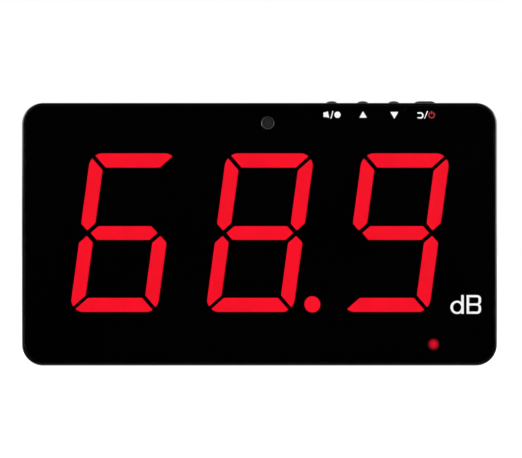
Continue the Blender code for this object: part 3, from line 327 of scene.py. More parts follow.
def rounded(corners, radii, steps=14):
    """A convex polygon with round corners.

    Each corner's arc is its own middle, the corner inset by its radius, plus the radius times a unit
    vector that turns evenly from the outward side of the edge before to that of the edge after.
    """
    corners = np.asarray(corners, float)
    radii = np.broadcast_to(radii, len(corners))[:, None]
    before, after = outward_sides(corners)
    start = np.arctan2(before[:, 1], before[:, 0])
    swing = (np.arctan2(after[:, 1], after[:, 0]) - start) % (2 * np.pi)
    turn = start[:, None] + swing[:, None] * np.linspace(0, 1, steps + 1)
    outward = np.stack([np.cos(turn), np.sin(turn)], axis=2)
    points = inset(corners, radii)[:, None] + radii[:, None] * outward
    return points.reshape(-1, 2), outward.reshape(-1, 2)


def rectangle(low, high, radius, steps=14):
    """A rectangle between two corners, with round corners no larger than its sides allow."""
    (left, bottom), (right, top) = low, high
    radius = min(radius, LARGEST_ROUND * min(right - left, top - bottom))
    return rounded([(left, bottom), (right, bottom), (right, top), (left, top)], radius, steps)


def bar(width, height, centre, radius=1.0):
    """A rectangle round its middle. With the default radius its short ends are half circles."""
    half = np.array([width, height]) / 2
    return rectangle(np.asarray(centre) - half, np.asarray(centre) + half, radius)


# Skins: points and faces

def ring(outline, grow, depth, facing="Y"):
    """The outline moved outwards by grow and laid flat at a depth along the facing axis."""
    return np.insert(outline[0] + grow * outline[1], "XYZ".index(facing), depth, axis=1)


def loft(rings, close=False):
    """Point (u, v) is the u-th point of the v-th ring. Quads join neighbouring rings.

    The last ring joins the first, or both ends are capped flat.
    """
    grid = np.stack(rings)
    index = np.arange(grid.shape[0] * grid.shape[1]).reshape(grid.shape[:2])
    near = index if close else index[:-1]
    far = np.roll(index, -1, axis=0) if close else index[1:]
    quads = np.stack([near, np.roll(near, -1, axis=1), np.roll(far, -1, axis=1), far], axis=2)
    caps = [] if close else [index[0].tolist(), index[-1].tolist()]
    return grid.reshape(-1, 3), quads.reshape(-1, 4).tolist() + caps


def sweep(outline, profile, facing="Y"):
    """A profile of (outward, depth) steps carried round an outline, with capped ends."""
    return loft([ring(outline, grow, depth, facing) for grow, depth in profile])


def fillet(centre, radius, start, end, steps=6):
    """Profile steps along a round edge, from one angle to another in degrees."""
    return arc(centre, radius, start, end, steps).tolist()


def sheet(loops, front, back):
    """A flat sheet with any holes: triangles over both faces, and quads between them round each loop."""
    flat = np.concatenate(loops)
    count = len(flat)
    lifted = [np.insert(loop, 2, 0.0, axis=1) for loop in loops]
    triangles = np.array(tessellate_polygon([list(map(Vector, loop)) for loop in lifted]))
    starts = np.cumsum([0] + [len(loop) for loop in loops])
    walls = []
    for first, last in zip(starts[:-1], starts[1:]):
        near = np.arange(first, last)
        far = np.roll(near, -1)
        walls.append(np.stack([near, far, far + count, near + count], axis=1))
    points = np.concatenate([np.insert(flat, 1, depth, axis=1) for depth in (front, back)])
    faces = np.concatenate([triangles, triangles[:, ::-1] + count]).tolist()
    return points, faces + np.concatenate(walls).tolist()


def gathered(skins):
    """Several skins as one."""
    points, faces, count = [], [], 0
    for skin_points, skin_faces in skins:
        points.append(skin_points)
        faces += [[count + corner for corner in face] for face in skin_faces]
        count += len(skin_points)
    return np.concatenate(points), faces


def band(path, width):
    """A stroke along a line: the path shifted half the width to each side, along its own normals."""
    along = np.gradient(path, axis=0)
    along /= np.linalg.norm(along, axis=1, keepdims=True)
    aside = np.stack([-along[:, 1], along[:, 0]], axis=1) * width / 2
    return np.concatenate([path + aside, (path - aside)[::-1]])


# Pieces

def new_object(name, data):
    """An object at the origin, linked to the scene."""
    made = bpy.data.objects.new(name, data)
    scene.collection.objects.link(made)
    return made


def new_piece(name, skin):
    """A mesh object at the origin, its doubles merged and its faces turned outwards."""
    mesh = bpy.data.meshes.new(name)
    mesh.from_pydata(skin[0].tolist(), [], skin[1])
    work = bmesh.new()
    work.from_mesh(mesh)
    bmesh.ops.remove_doubles(work, verts=work.verts, dist=MERGE)
    bmesh.ops.recalc_face_normals(work, faces=work.faces)
    work.to_mesh(mesh)
    work.free()
    return new_object(name, mesh)


def combine(piece, tools, operation):
    """The piece with every tool joined to it (UNION) or cut out of it (DIFFERENCE), slivers dissolved."""
    group = bpy.data.collections.new(f"{piece.name}_tools")
    scene.collection.children.link(group)
    for tool in tools:
        scene.collection.objects.unlink(tool)
        group.objects.link(tool)
    step = piece.modifiers.new("combine", "BOOLEAN")
    step.operand_type = "COLLECTION"
    step.collection = group
    step.operation = operation
    step.solver = "EXACT"
    graph = bpy.context.evaluated_depsgraph_get()
    piece.data = bpy.data.meshes.new_from_object(piece.evaluated_get(graph))
    piece.modifiers.clear()
    clean = bmesh.new()
    clean.from_mesh(piece.data)
    bmesh.ops.dissolve_degenerate(clean, dist=SLIVER, edges=clean.edges)
    clean.to_mesh(piece.data)
    clean.free()
    for tool in tools:
        bpy.data.objects.remove(tool)
    bpy.data.collections.remove(group)


def rod(name, diameter, centre, span, facing="Y"):
    """A round bar along the facing axis."""
    outline = circle(diameter / 2, centre, ROD_SIDES)
    return new_piece(name, sweep(outline, [(0, span[0]), (0, span[1])], facing))


def block(name, low, high):
    """A plain box between two (x, y, z) corners."""
    outline = rectangle((low[0], low[2]), (high[0], high[2]), 0.0, 0)
    return new_piece(name, sweep(outline, [(0, low[1]), (0, high[1])]))


def pocket(name, outline, floor, mouth, facing="Y", edge=BREAK):
    """A cutter that goes straight up from its floor and flares at 45 degrees through the mouth."""
    out = OVERRUN if mouth > floor else -OVERRUN
    flare = edge if mouth > floor else -edge
    profile = [(0, floor), (0, mouth - flare), (edge + OVERRUN, mouth + out)]
    return new_piece(name, sweep(outline, profile, facing))


def finish_piece(piece, body, slot, materials, stands_for=()):
    """Dresses a piece, shades it smooth between crisp edges and sets it on its body."""
    piece.data.materials.clear()
    for material in materials:
        piece.data.materials.append(material)
    piece.data.shade_smooth()
    piece.data.set_sharp_from_angle(angle=SHARP)
    even = piece.modifiers.new("even_flats", "WEIGHTED_NORMAL")
    even.keep_sharp = True
    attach(piece, body)
    if stands_for:
        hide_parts(*stands_for)


def paint(piece, chosen):
    """Gives the piece's second material to the faces whose centres are chosen."""
    faces = piece.data.polygons
    centres = np.empty(3 * len(faces))
    faces.foreach_get("center", centres)
    faces.foreach_set("material_index", chosen(centres.reshape(-1, 3)).astype(np.int32))


# Materials

NOISE_LOW, NOISE_HIGH = 0.3, 0.7  # most of a noise pattern's values lie between these
NOISE_RANGE = {"From Min": NOISE_LOW, "From Max": NOISE_HIGH}


def linear(code):
    """sRGB hex to linear light: s / 12.92 when dark, else ((s + 0.055) / 1.055) to the power 2.4."""
    s = np.array([int(code[at:at + 2], 16) for at in (1, 3, 5)]) / 255
    light = np.where(s <= 0.04045, s / 12.92, ((s + 0.055) / 1.055) ** 2.4)
    return (*light.tolist(), 1.0)


def add(tree, kind, settings=None, links=None):
    """Adds one node with its settings, by input or property name, and its links, by input name."""
    node = tree.nodes.new(kind)
    for name, value in (settings or {}).items():
        if isinstance(name, int) or name in node.inputs:
            node.inputs[name].default_value = value
        else:
            setattr(node, name, value)
    for name, source in (links or {}).items():
        tree.links.new(source, node.inputs[name])
    return node


def new_material(name, colour, sockets):
    """A material whose one shader has these plain socket values."""
    material = bpy.data.materials.new(name)
    material.use_nodes = True
    shader = material.node_tree.nodes["Principled BSDF"]
    shader.inputs["Base Color"].default_value = linear(colour)
    for socket, value in sockets.items():
        shader.inputs[socket].default_value = value
    return material


def feed(material, socket, source):
    """Links a node's output to a socket of the material's shader."""
    tree = material.node_tree
    tree.links.new(source, tree.nodes["Principled BSDF"].inputs[socket])


def textured(name, colour, sockets, grain, height, rough, patch, painted_pit_shade=None):
    """A material with bump from noise of the grain's size, roughness that drifts between two values over
    patches, and where given, a mirror strength that rises from the grain's pits to its peaks, which paints
    shade into the pits.

    Grain, height and patch are in millimetres.
    """
    material = new_material(name, colour, sockets)
    tree = material.node_tree
    place = {"Vector": add(tree, "ShaderNodeTexCoord").outputs["Object"]}
    fine = add(tree, "ShaderNodeTexNoise", {"Scale": 1 / (grain * MM), "Detail": 3.0}, place).outputs[0]
    broad = add(tree, "ShaderNodeTexNoise", {"Scale": 1 / (patch * MM), "Detail": 4.0}, place).outputs[0]
    bump = add(tree, "ShaderNodeBump", {"Strength": 1.0, "Distance": height * MM}, {"Height": fine})
    feed(material, "Normal", bump.outputs[0])
    for pattern, socket, ends in ((broad, "Roughness", rough), (fine, "Specular IOR Level", painted_pit_shade)):
        if ends:
            spread = {**NOISE_RANGE, "To Min": ends[0], "To Max": ends[1]}
            drift = add(tree, "ShaderNodeMapRange", spread, {"Value": pattern})
            feed(material, socket, drift.outputs[0])
    return material


def tint(material, dark, light, patch):
    """Base colour that drifts between two colours over patches of that size in millimetres."""
    tree = material.node_tree
    place = {"Vector": add(tree, "ShaderNodeTexCoord").outputs["Object"]}
    broad = add(tree, "ShaderNodeTexNoise", {"Scale": 1 / (patch * MM), "Detail": 3.0}, place)
    ramp = add(tree, "ShaderNodeValToRGB", None, {"Fac": broad.outputs[0]})
    for stop, position, colour in zip(ramp.color_ramp.elements, (NOISE_LOW, NOISE_HIGH), (dark, light)):
        stop.position = position
        stop.color = linear(colour)
    feed(material, "Base Color", ramp.outputs[0])


# Black ABS from a spark-eroded mould: an even matt grain. The grain is drawn at 0.65 mm, three times its
# real size, because finer grain is lost between pixels.
# The grain's pits mirror less than its peaks: painted shade in the pits.
ABS = textured("spark_textured_abs", "#0d0d0e", {"IOR": 1.5},
               grain=0.65, height=0.025, rough=(0.5, 0.6), patch=14, painted_pit_shade=(0.26, 0.74))

# The front rim, from the polished part of the same mould: glossy black with the faint ripple of flow.
POLISHED_ABS = textured("polished_abs", "#060607", {"IOR": 1.5},
                        grain=3.0, height=0.006, rough=(0.13, 0.19), patch=14)

# Key caps: black ABS with a soft, dull face that fingers have polished in patches.
SATIN_ABS = textured("satin_abs", "#070708", {"IOR": 1.5, "Specular IOR Level": 0.16},
                     grain=0.5, height=0.006, rough=(0.36, 0.5), patch=5)

# Cast acrylic with a grey tint: polished faces that pass light and mirror the room, with faint wipe
# marks that dull the mirror here and there.
SMOKED_ACRYLIC = textured("smoked_acrylic", "#b4b4b8", {"IOR": 1.49, "Transmission Weight": 1.0},
                          grain=40, height=0.0005, rough=(0.008, 0.035), patch=30)

# The same sheet where a cutter broke the edge: fine tool marks turn it frosty grey.
MILLED_ACRYLIC = textured("milled_acrylic", "#4c4c4e", {"IOR": 1.49},
                          grain=0.25, height=0.003, rough=(0.18, 0.26), patch=2)

# Black ink on polyester film: deep matt black with a faint mottle from the screen.
PRINTED_FILM = textured("printed_film", "#050505", {"IOR": 1.5, "Specular IOR Level": 0.1},
                        grain=0.6, height=0.002, rough=(0.55, 0.65), patch=20)
tint(PRINTED_FILM, "#030303", "#070707", 4)

# Red resin with its LEDs off, almost black behind the smoked sheet.
DARK_RESIN = textured("dark_red_resin", "#040101", {"Specular IOR Level": 0.1},
                      grain=0.5, height=0.003, rough=(0.5, 0.6), patch=12)

# Dark grey felt: no gloss, loose fibres about 0.3 mm apart and a soft sheen.
FELT = textured("pressed_felt", "#222223", {"Specular IOR Level": 0.1, "Sheen Weight": 0.3},
                grain=0.3, height=0.08, rough=(0.9, 1.0), patch=1.5)
tint(FELT, "#141415", "#222223", 0.6)

# Zinc-plated screws and pins: bright grey metal with cloudy patches in the plating.
STEEL = textured("zinc_plated_steel", "#b9bbb8", {"Metallic": 1.0},
                 grain=0.2, height=0.003, rough=(0.26, 0.40), patch=1.6)

# Nickel-plated socket shell, drawn smooth, with faint rubbing from plugs.
NICKEL = textured("nickel_plated_shell", "#c8c5bd", {"Metallic": 1.0},
                  grain=0.25, height=0.002, rough=(0.18, 0.32), patch=2)

# Drawn aluminium cans: soft grey metal.
ALUMINIUM = textured("drawn_aluminium", "#cfd0d2", {"Metallic": 1.0},
                     grain=0.2, height=0.002, rough=(0.30, 0.42), patch=2)

# White ABS of the digit blocks, moulded smooth so that it throws light forwards.
WHITE_ABS = textured("white_abs", "#e6e6e0", {"IOR": 1.53},
                     grain=0.4, height=0.004, rough=(0.38, 0.48), patch=8)

# Green solder mask over copper: lighter where tracks run underneath.
SOLDER_MASK = textured("solder_mask", "#0e5a33", {"IOR": 1.55},
                       grain=0.5, height=0.01, rough=(0.30, 0.42), patch=6)
tint(SOLDER_MASK, "#0b4a29", "#14703f", 1.0)

# Black filled epoxy of chips, switches and buzzer: matt, with a fine moulded grain.
EPOXY = textured("chip_epoxy", "#1d1d20", {"IOR": 1.55},
                 grain=0.3, height=0.006, rough=(0.50, 0.62), patch=3)

# Black rubber boot and foam tape: dull, with a powdery drift.
RUBBER = textured("moulded_rubber", "#1b1b1b", {"IOR": 1.52},
                  grain=0.4, height=0.01, rough=(0.75, 0.88), patch=3)

# Clear red plastic of the status light's pipe and LED, glowing from inside.
INNER_GLOW = {"IOR": 1.5, "Emission Color": linear("#d0101f"), "Emission Strength": 0.5}
RED_PLASTIC = textured("clear_red_plastic", "#7a0412", INNER_GLOW,
                       grain=0.5, height=0.002, rough=(0.2, 0.3), patch=4)


def screen_ink(name, dark, light):
    """Thick screen-printed ink: matt, with the faint mottle of the mesh it was pressed through."""
    made = textured(name, light, {"IOR": 1.5}, grain=0.3, height=0.003, rough=(0.5, 0.6), patch=3)
    tint(made, dark, light, 1.2)
    return made


def lit_resin():
    """Red resin over lit LEDs: even red light, a touch stronger over each LED behind it."""
    glow = {"Roughness": 0.5, "Emission Color": linear("#fb1026")}
    made = new_material("lit_red_resin", "#3a0206", glow)
    tree = made.node_tree
    place = add(tree, "ShaderNodeTexCoord").outputs["Object"]
    cells = add(tree, "ShaderNodeTexNoise", {"Scale": 1 / LED_PITCH, "Detail": 1.0}, {"Vector": place})
    spread = {**NOISE_RANGE, "To Min": LIT_STRENGTH[0], "To Max": LIT_STRENGTH[1]}
    strength = add(tree, "ShaderNodeMapRange", spread, {"Value": cells.outputs[0]})
    feed(made, "Emission Strength", strength.outputs[0])
    return made


def status_glow(centre):
    """Red light through a hazy printed spot: bright in the middle and gone at the spot's rim.

    The strength falls as 1 - (3 t^2 - 2 t^3), with t the distance from the middle between core and fade.
    """
    glow = {"Roughness": 0.6, "Emission Color": linear("#f4142c")}
    made = new_material("status_glow", "#020001", glow)
    tree = made.node_tree
    place = add(tree, "ShaderNodeTexCoord").outputs["Object"]
    offset = add(tree, "ShaderNodeVectorMath", {"operation": "DISTANCE", 1: centre}, {0: place})
    fade = {"interpolation_type": "SMOOTHSTEP", "From Min": SPOT_CORE, "From Max": SPOT_FADE,
            "To Min": SPOT_STRENGTH, "To Max": 0.0}
    strength = add(tree, "ShaderNodeMapRange", fade, {"Value": offset.outputs["Value"]})
    feed(made, "Emission Strength", strength.outputs[0])
    return made


def socket_tongue_plastic():
    """Black liquid-crystal polymer tongue with gilt contacts set in it, one at each contact pitch."""
    black, gold = "#101012", "#d8b25a"
    made = new_material("contact_tongue", black, {"Roughness": 0.45})
    tree = made.node_tree
    place = add(tree, "ShaderNodeTexCoord").outputs["Object"]
    height = add(tree, "ShaderNodeSeparateXYZ", None, {"Vector": place}).outputs["Z"]
    turns = add(tree, "ShaderNodeMath", {"operation": "MULTIPLY", 1: 1 / CONTACT_PITCH}, {0: height})
    saw = add(tree, "ShaderNodeMath", {"operation": "FRACT"}, {0: turns.outputs[0]})
    gilt = add(tree, "ShaderNodeMath", {"operation": "GREATER_THAN", 1: GILT_START}, {0: saw.outputs[0]})
    # The mix node's colour sockets are inputs 6 and 7 and output 2.
    colour = add(tree, "ShaderNodeMix", {"data_type": "RGBA", 6: linear(black), 7: linear(gold)},
                 {0: gilt.outputs[0]})
    feed(made, "Base Color", colour.outputs[2])
    feed(made, "Metallic", gilt.outputs[0])
    return made


NODE_FINISHES = {
    "case_black": ABS, "window_smoke": SMOKED_ACRYLIC, "mask_black": PRINTED_FILM, "foam_black": RUBBER,
    "display_red": DARK_RESIN, "reflector_white": WHITE_ABS, "board_green": SOLDER_MASK,
    "chip_black": EPOXY, "plated_steel": STEEL, "can_aluminium": ALUMINIUM, "boot_rubber": RUBBER,
    "felt_grey": FELT, "status_red": RED_PLASTIC, "key_black": SATIN_ABS,
}


def dress_nodes():
    """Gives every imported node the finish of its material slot."""
    for part in frame["record"]["subparts"]:
        node = frame["nodes"][part["node"]]
        node.data.materials.clear()
        node.data.materials.append(NODE_FINISHES[part["material_slot"]])


# Sub-parts

OUTLINE = rectangle((CASE_LOW.x, CASE_LOW.z), (CASE_HIGH.x, CASE_HIGH.z), CORNER_RADIUS)


def key_outline(name, grow=0.0):
    """A key seen from above, from its node's box: round, or a bar with round ends."""
    low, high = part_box(f"{name}_key")
    width = high.x - low.x - 2 * KEY_FLANGE + 2 * grow
    centre = ((low.x + high.x) / 2, (low.y + high.y) / 2)
    return bar(width, KEY_WIDTH + 2 * grow, centre)


def make_front_shell():
    """Front moulding: a closed profile carried round the case.

    From the parting line it runs up the side, over the round front edge, down into the window's recess,
    along the ledge to the display opening, and back along the inner wall.
    """
    front = CASE_LOW.y
    first, last = MODULES["left"][0], MODULES["right"][1]
    opening = rectangle((first.x - FIT, first.z - FIT), (last.x + FIT, last.z + FIT), OPENING_CORNER)
    outside = [(-PART_BREAK, SPLIT), (0, SPLIT - PART_BREAK)]
    outside += fillet((-FRONT_EDGE, front + FRONT_EDGE), FRONT_EDGE, 0, -90)
    outside += [(-RIM, front), (-RIM, LEDGE_FRONT)]
    lap_front = SPLIT - LAP_DEPTH
    inside = [(-WALL, LEDGE_BACK), (-WALL, lap_front), (LAP - WALL, lap_front), (LAP - WALL, SPLIT)]
    rings = [ring(OUTLINE, *step) for step in outside]
    rings += [ring(opening, 0, depth) for depth in (LEDGE_FRONT, LEDGE_BACK)]
    rings += [ring(OUTLINE, *step) for step in inside]
    shell = new_piece("case_front", loft(rings, close=True))
    wall_span = (LEDGE_FRONT - OVERRUN, LEDGE_BACK + OVERRUN)
    bosses = []
    cuts = [rod("cut", BOOT_HOLE, MIC, wall_span), rod("cut", PIPE_HOLE, STATUS, wall_span)]
    for screws, boss, pilot, end in ((CASE_SCREWS.values(), CASE_BOSS, CASE_PILOT, SPLIT),
                                     (BOARD_SCREWS, BOARD_BOSS, BOARD_PILOT, BOARD_FRONT - FIT)):
        for box in screws:
            bosses.append(rod("boss", boss, middle(box), (LEDGE_BACK - OVERRUN, end)))
            cuts.append(rod("cut", pilot, middle(box), (box[0].y - PILOT_RUN, end + OVERRUN)))
    cuts += [pocket("cut", key_outline(name, FIT), TOP - WALL - OVERRUN, TOP, "Z") for name in KEYS]
    inlet = bar(*(SOCKET_SIZE + 2 * SOCKET_CLEARANCE), SOCKET)
    cuts.append(pocket("cut", inlet, CASE_HIGH.x - WALL - OVERRUN, CASE_HIGH.x, "X"))
    combine(shell, bosses, "UNION")
    combine(shell, cuts, "DIFFERENCE")
    finish_piece(shell, "meter", "case_black", [ABS, POLISHED_ABS], ["front_case"])
    paint(shell, lambda centres: centres[:, 1] < front + FRONT_EDGE)


def leg_outline(gap):
    """The stand's leg seen from behind: a tapered bar with round corners, larger at its tip."""
    half = LEG_WIDTH / 2 + gap
    tip_half = LEG_TIP_WIDTH / 2 + gap
    low = LEG_LOW.z - gap
    high = LEG_HIGH.z + gap
    corner = LEG_CORNER + gap
    top_corner = LEG_TOP_CORNER + gap
    return rounded([(-tip_half, low), (tip_half, low), (half, high), (-half, high)],
                   [corner, corner, top_corner, top_corner])


def make_rear_shell():
    """Rear moulding: an open box swept round the case, with the stand's bay, slots, vents and posts."""
    lap_side = -(WALL - LAP + LAP_GAP)
    lap_front = SPLIT - LAP_DEPTH + FIT
    profile = [(-WALL, COVER_INSIDE), (-WALL, lap_front), (lap_side, lap_front), (lap_side, COVER_FRONT),
               (-PART_BREAK, COVER_FRONT), (0, COVER_FRONT + PART_BREAK)]
    profile += fillet((-BACK_EDGE, BACK - BACK_EDGE), BACK_EDGE, 0, 90, steps=10)
    shell = new_piece("case_back", sweep(OUTLINE, profile))
    bay_half = LEG_WIDTH / 2 + LEG_GAP
    island_half = bay_half + WALL
    lug_half = island_half + LUG_LENGTH
    deep = BACK - OVERRUN
    joined = [block("island", (-island_half, COVER_FRONT, LEG_LOW.z - SCOOP_DROP - POCKET_WALL),
                    (island_half, deep, POCKET_HIGH + POCKET_WALL)),
              block("lugs", (-lug_half, COVER_FRONT, HINGE_Z - LUG_HEIGHT / 2),
                    (lug_half, deep, HINGE_Z + LUG_HEIGHT / 2))]
    hang_middle = HANG_Z + HANG_RISE / 2
    pad = HANG_POCKET + 2 * HANG_WALL
    for across in (-HANG_X, HANG_X):
        outline = bar(pad, pad + HANG_RISE, (across, hang_middle), HANG_WALL)
        joined.append(new_piece("pad", sweep(outline, [(0, COVER_FRONT), (0, deep)])))
    joined += [rod("post", CASE_POST, middle(box), (COVER_FRONT, deep)) for box in CASE_SCREWS.values()]
    combine(shell, joined, "UNION")
    notch_top = LEG_LOW.z + NOTCH_RADIUS
    inside = COVER_FRONT - OVERRUN
    through = COVER_INSIDE - OVERRUN
    scoop_half = SCOOP_WIDTH / 2
    scoop = rectangle((-scoop_half, LEG_LOW.z - SCOOP_DROP), (scoop_half, notch_top), SCOOP_CORNER)
    cuts = [block("thin", (-bay_half, inside, notch_top + POCKET_WALL),
                  (bay_half, RECESS_FLOOR - RECESS_BACKING, POCKET_LOW - POCKET_WALL)),
            pocket("bay", leg_outline(LEG_GAP), RECESS_FLOOR, BACK),
            block("heel", (-bay_half, POCKET_FLOOR, POCKET_LOW), (bay_half, BACK + OVERRUN, POCKET_HIGH)),
            pocket("scoop", scoop, BACK - SCOOP_DEPTH, BACK)]
    for side in (-1, 1):
        pin_span = sorted(side * x for x in (bay_half - OVERRUN, lug_half + OVERRUN))
        cuts.append(rod("pin", PIN_BORE, (HINGE_Y, HINGE_Z), pin_span, "X"))
        hang = side * HANG_X
        well = bar(HANG_POCKET, HANG_POCKET + HANG_RISE, (hang, hang_middle))
        cuts.append(new_piece("well", sweep(well, [(0, COVER_INSIDE - HANG_DEPTH), (0, COVER_INSIDE)])))
        cuts.append(pocket("mouth", circle(HANG_MOUTH / 2, (hang, HANG_Z)), through, BACK))
        slot = bar(HANG_SLOT, HANG_SLOT + HANG_RISE, (hang, hang_middle))
        cuts.append(pocket("slot", slot, through, BACK))
        for row in range(VENT_COUNT):
            rise = VENT_PITCH * (row - (VENT_COUNT - 1) / 2)
            vent = bar(VENT_LENGTH, VENT_WIDTH, (side * VENT_X, VENT_Z + rise))
            cuts.append(pocket("vent", vent, through, BACK))
    for box in CASE_SCREWS.values():
        cuts.append(rod("bore", CASE_PILOT, middle(box), (inside, BACK - SCREW_SEAT + OVERRUN)))
        seat = circle(COUNTERBORE / 2, middle(box), ROD_SIDES)
        cuts.append(pocket("counterbore", seat, BACK - SCREW_SEAT, BACK))
    combine(shell, cuts, "DIFFERENCE")
    finish_piece(shell, "meter", "case_black", [ABS], ["rear_cover"])


def make_stand():
    """Fold-out leg: a plate with rounded edges on a hinge barrel, with grip grooves and a finger notch."""
    back = LEG_HIGH.y
    front = back - LEG_THICKNESS
    profile = fillet((-LEG_EDGE, front + LEG_EDGE), LEG_EDGE, -90, 0)
    profile += fillet((-LEG_EDGE, back - LEG_EDGE), LEG_EDGE, 0, 90)
    leg = new_piece("stand", sweep(leg_outline(0.0), profile))
    half = LEG_WIDTH / 2
    axis = (HINGE_Y, HINGE_Z)
    combine(leg, [rod("barrel", 2 * BARREL_RADIUS, axis, (-half, half), "X")], "UNION")
    cuts = [pocket("notch", circle(NOTCH_RADIUS, (0, LEG_LOW.z)), front - OVERRUN, back)]
    for row in range(GRIP_COUNT):
        groove = bar(GRIP_LENGTH, GRIP_WIDTH, (0, LEG_LOW.z + GRIP_RISE + GRIP_PITCH * row))
        cuts.append(pocket("groove", groove, back - GRIP_DEPTH, back, edge=GRIP_EDGE))
    for side in (-1, 1):
        bore_span = sorted(side * x for x in (half - PIN_GRIP, half + OVERRUN))
        cuts.append(rod("bore", PIN_BORE, axis, bore_span, "X"))
    combine(leg, cuts, "DIFFERENCE")
    finish_piece(leg, "stand", "case_black", [ABS], ["stand_leg"])


def make_window():
    """Acrylic front: a plate with broken edges and a milled hole for the microphone."""
    corner = CORNER_RADIUS - RIM
    outline = rectangle((WINDOW_LOW.x, WINDOW_LOW.z), (WINDOW_HIGH.x, WINDOW_HIGH.z), corner)
    front, back = WINDOW_LOW.y, WINDOW_HIGH.y
    profile = [(-WINDOW_EDGE, front), (0, front + WINDOW_EDGE), (0, back)]
    window = new_piece("window", sweep(outline, profile))
    radius = HOLE_DIAMETER / 2
    profile = [(0, back + OVERRUN), (0, front + HOLE_BREAK_DEPTH),
               (2 * HOLE_BREAK, front - HOLE_BREAK_DEPTH)]
    hole = new_piece("hole", sweep(circle(radius, MIC), profile))
    combine(window, [hole], "DIFFERENCE")
    finish_piece(window, "meter", "window_smoke", [SMOKED_ACRYLIC, MILLED_ACRYLIC], ["front_window"])
    paint(window, lambda centres: np.hypot(*(centres[:, [0, 2]] - MIC).T) < radius + HOLE_BREAK)


def digit_segments():
    """The seven upright segments about the digit's middle, with mitred ends and round outer corners.

    Each end is built for the upper right of the digit and mirrored. The mitre angle is where the gap's
    edge meets the corner's arc. Where the light stops short of an outer edge, the points are clipped to
    that line, and those that then lie in one line are dropped.
    """
    half_width = DIGIT_WIDTH / 2
    half_height = DIGIT_HEIGHT / 2
    setback = SEGMENT_GAP / np.sqrt(2)
    inner_u = half_width - SEGMENT_WIDTH
    inner_v = half_height - SEGMENT_WIDTH

    def corner_arc(radius, start, end):
        return arc((half_width - radius, half_height - radius), radius, start, end)

    def mitre(radius, cut):
        return np.degrees(np.arccos(cut / (np.sqrt(2) * radius)))

    def bar_end(radius):
        outer = corner_arc(radius, 135 - mitre(radius, setback), 90)
        return np.vstack([[(inner_u - setback, inner_v)], outer])

    def upright(radius, drop, trim=0.0):
        cut = setback + trim
        point = setback - drop
        shoulder = point + WAIST_POINT
        outer = corner_arc(radius, 0, mitre(radius, cut) - 45)
        inner = [(inner_u, inner_v - cut), (inner_u, shoulder), (half_width - SEGMENT_WIDTH / 2, point)]
        return inset(np.vstack([[(half_width, shoulder)], outer, inner]), LIGHT_INSET)

    left_end = (bar_end(DIGIT_CORNER) * (-1, 1))[::-1]
    top = inset(np.vstack([bar_end(SHARP_CORNER), left_end]), LIGHT_INSET)
    reach = half_width - SEGMENT_WIDTH / 2 - setback - MIDDLE_TRIM
    shoulder = reach - SEGMENT_WIDTH / 2
    point = np.array([(shoulder, -SEGMENT_WIDTH / 2), (reach, 0), (shoulder, SEGMENT_WIDTH / 2)])
    across = inset(np.vstack([point, -point]), MIDDLE_INSET) - (0, MIDDLE_DROP)
    segments = {"top": top, "bottom": -top, "middle": across,
                "upper_right": upright(SHARP_CORNER, WAIST_DROP, UPPER_TRIM),
                "upper_left": upright(DIGIT_CORNER, WAIST_DROP, UPPER_TRIM) * (-1, 1),
                "lower_right": upright(DIGIT_CORNER, -WAIST_DROP) * (1, -1),
                "lower_left": -upright(SHARP_CORNER, -WAIST_DROP)}
    for name, trim in LIGHT_TRIM.items():
        limit = np.array([half_width, half_height]) - LIGHT_INSET - trim
        trimmed = np.clip(segments[name], -limit, limit)
        before, after = outward_sides(trimmed)
        segments[name] = trimmed[(before * after).sum(axis=1) < STRAIGHT]
    return segments


def make_digit_lights():
    """Lit resin behind the mask's openings. A point (u, v) of an upright digit leans to (u + lean v, v)."""
    glow = lit_resin()
    back = DIFFUSER_FRONT - FILM_GAP
    front = back - LIGHT_FILM
    lean = np.array([[1, 0], [DIGIT_LEAN, 1]])
    for place, box in MODULES.items():
        centre = np.array(middle(box)) + (LIGHT_SHIFT, 0)
        dark = DARK_SEGMENTS[READING[place]]
        shapes = [centre + points @ lean for name, points in digit_segments().items() if name not in dark]
        if place == "middle":
            shapes.append(circle(POINT_DIAMETER / 2, centre + (POINT_OFFSET, -POINT_DROP))[0])
        skins = [sheet([shape], front, back) for shape in shapes]
        lights = new_piece(f"digit_light_{place}", gathered(skins))
        finish_piece(lights, "meter", "display_red", [glow])


def make_status_spot():
    """Round spot between window and mask that the status light shines through."""
    back = MASK_FRONT - SPOT_THICKNESS / 2
    front = back - SPOT_THICKNESS
    across, up = np.array(STATUS) + SPOT_SHIFT
    spot = new_piece("status_spot", sweep(circle(SPOT_RADIUS, (across, up)), [(0, front), (0, back)]))
    finish_piece(spot, "meter", "status_red", [status_glow((across, front, up))])


def make_microphone_felt():
    """Felt disc in the window's hole, with a soft round edge and a slightly raised middle."""
    low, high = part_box("microphone_felt")
    radius = (high.x - low.x) / 2
    profile = [(0, high.y)]
    profile += fillet((-FELT_EDGE, low.y + FELT_EDGE + FELT_CROWN), FELT_EDGE, 0, -90)
    profile += [(-radius * share, low.y + drop) for share, drop in FELT_SLOPE]
    felt = new_piece("microphone_felt_disc", sweep(circle(radius, MIC), profile))
    finish_piece(felt, "meter", "felt_grey", [FELT], ["microphone_felt"])


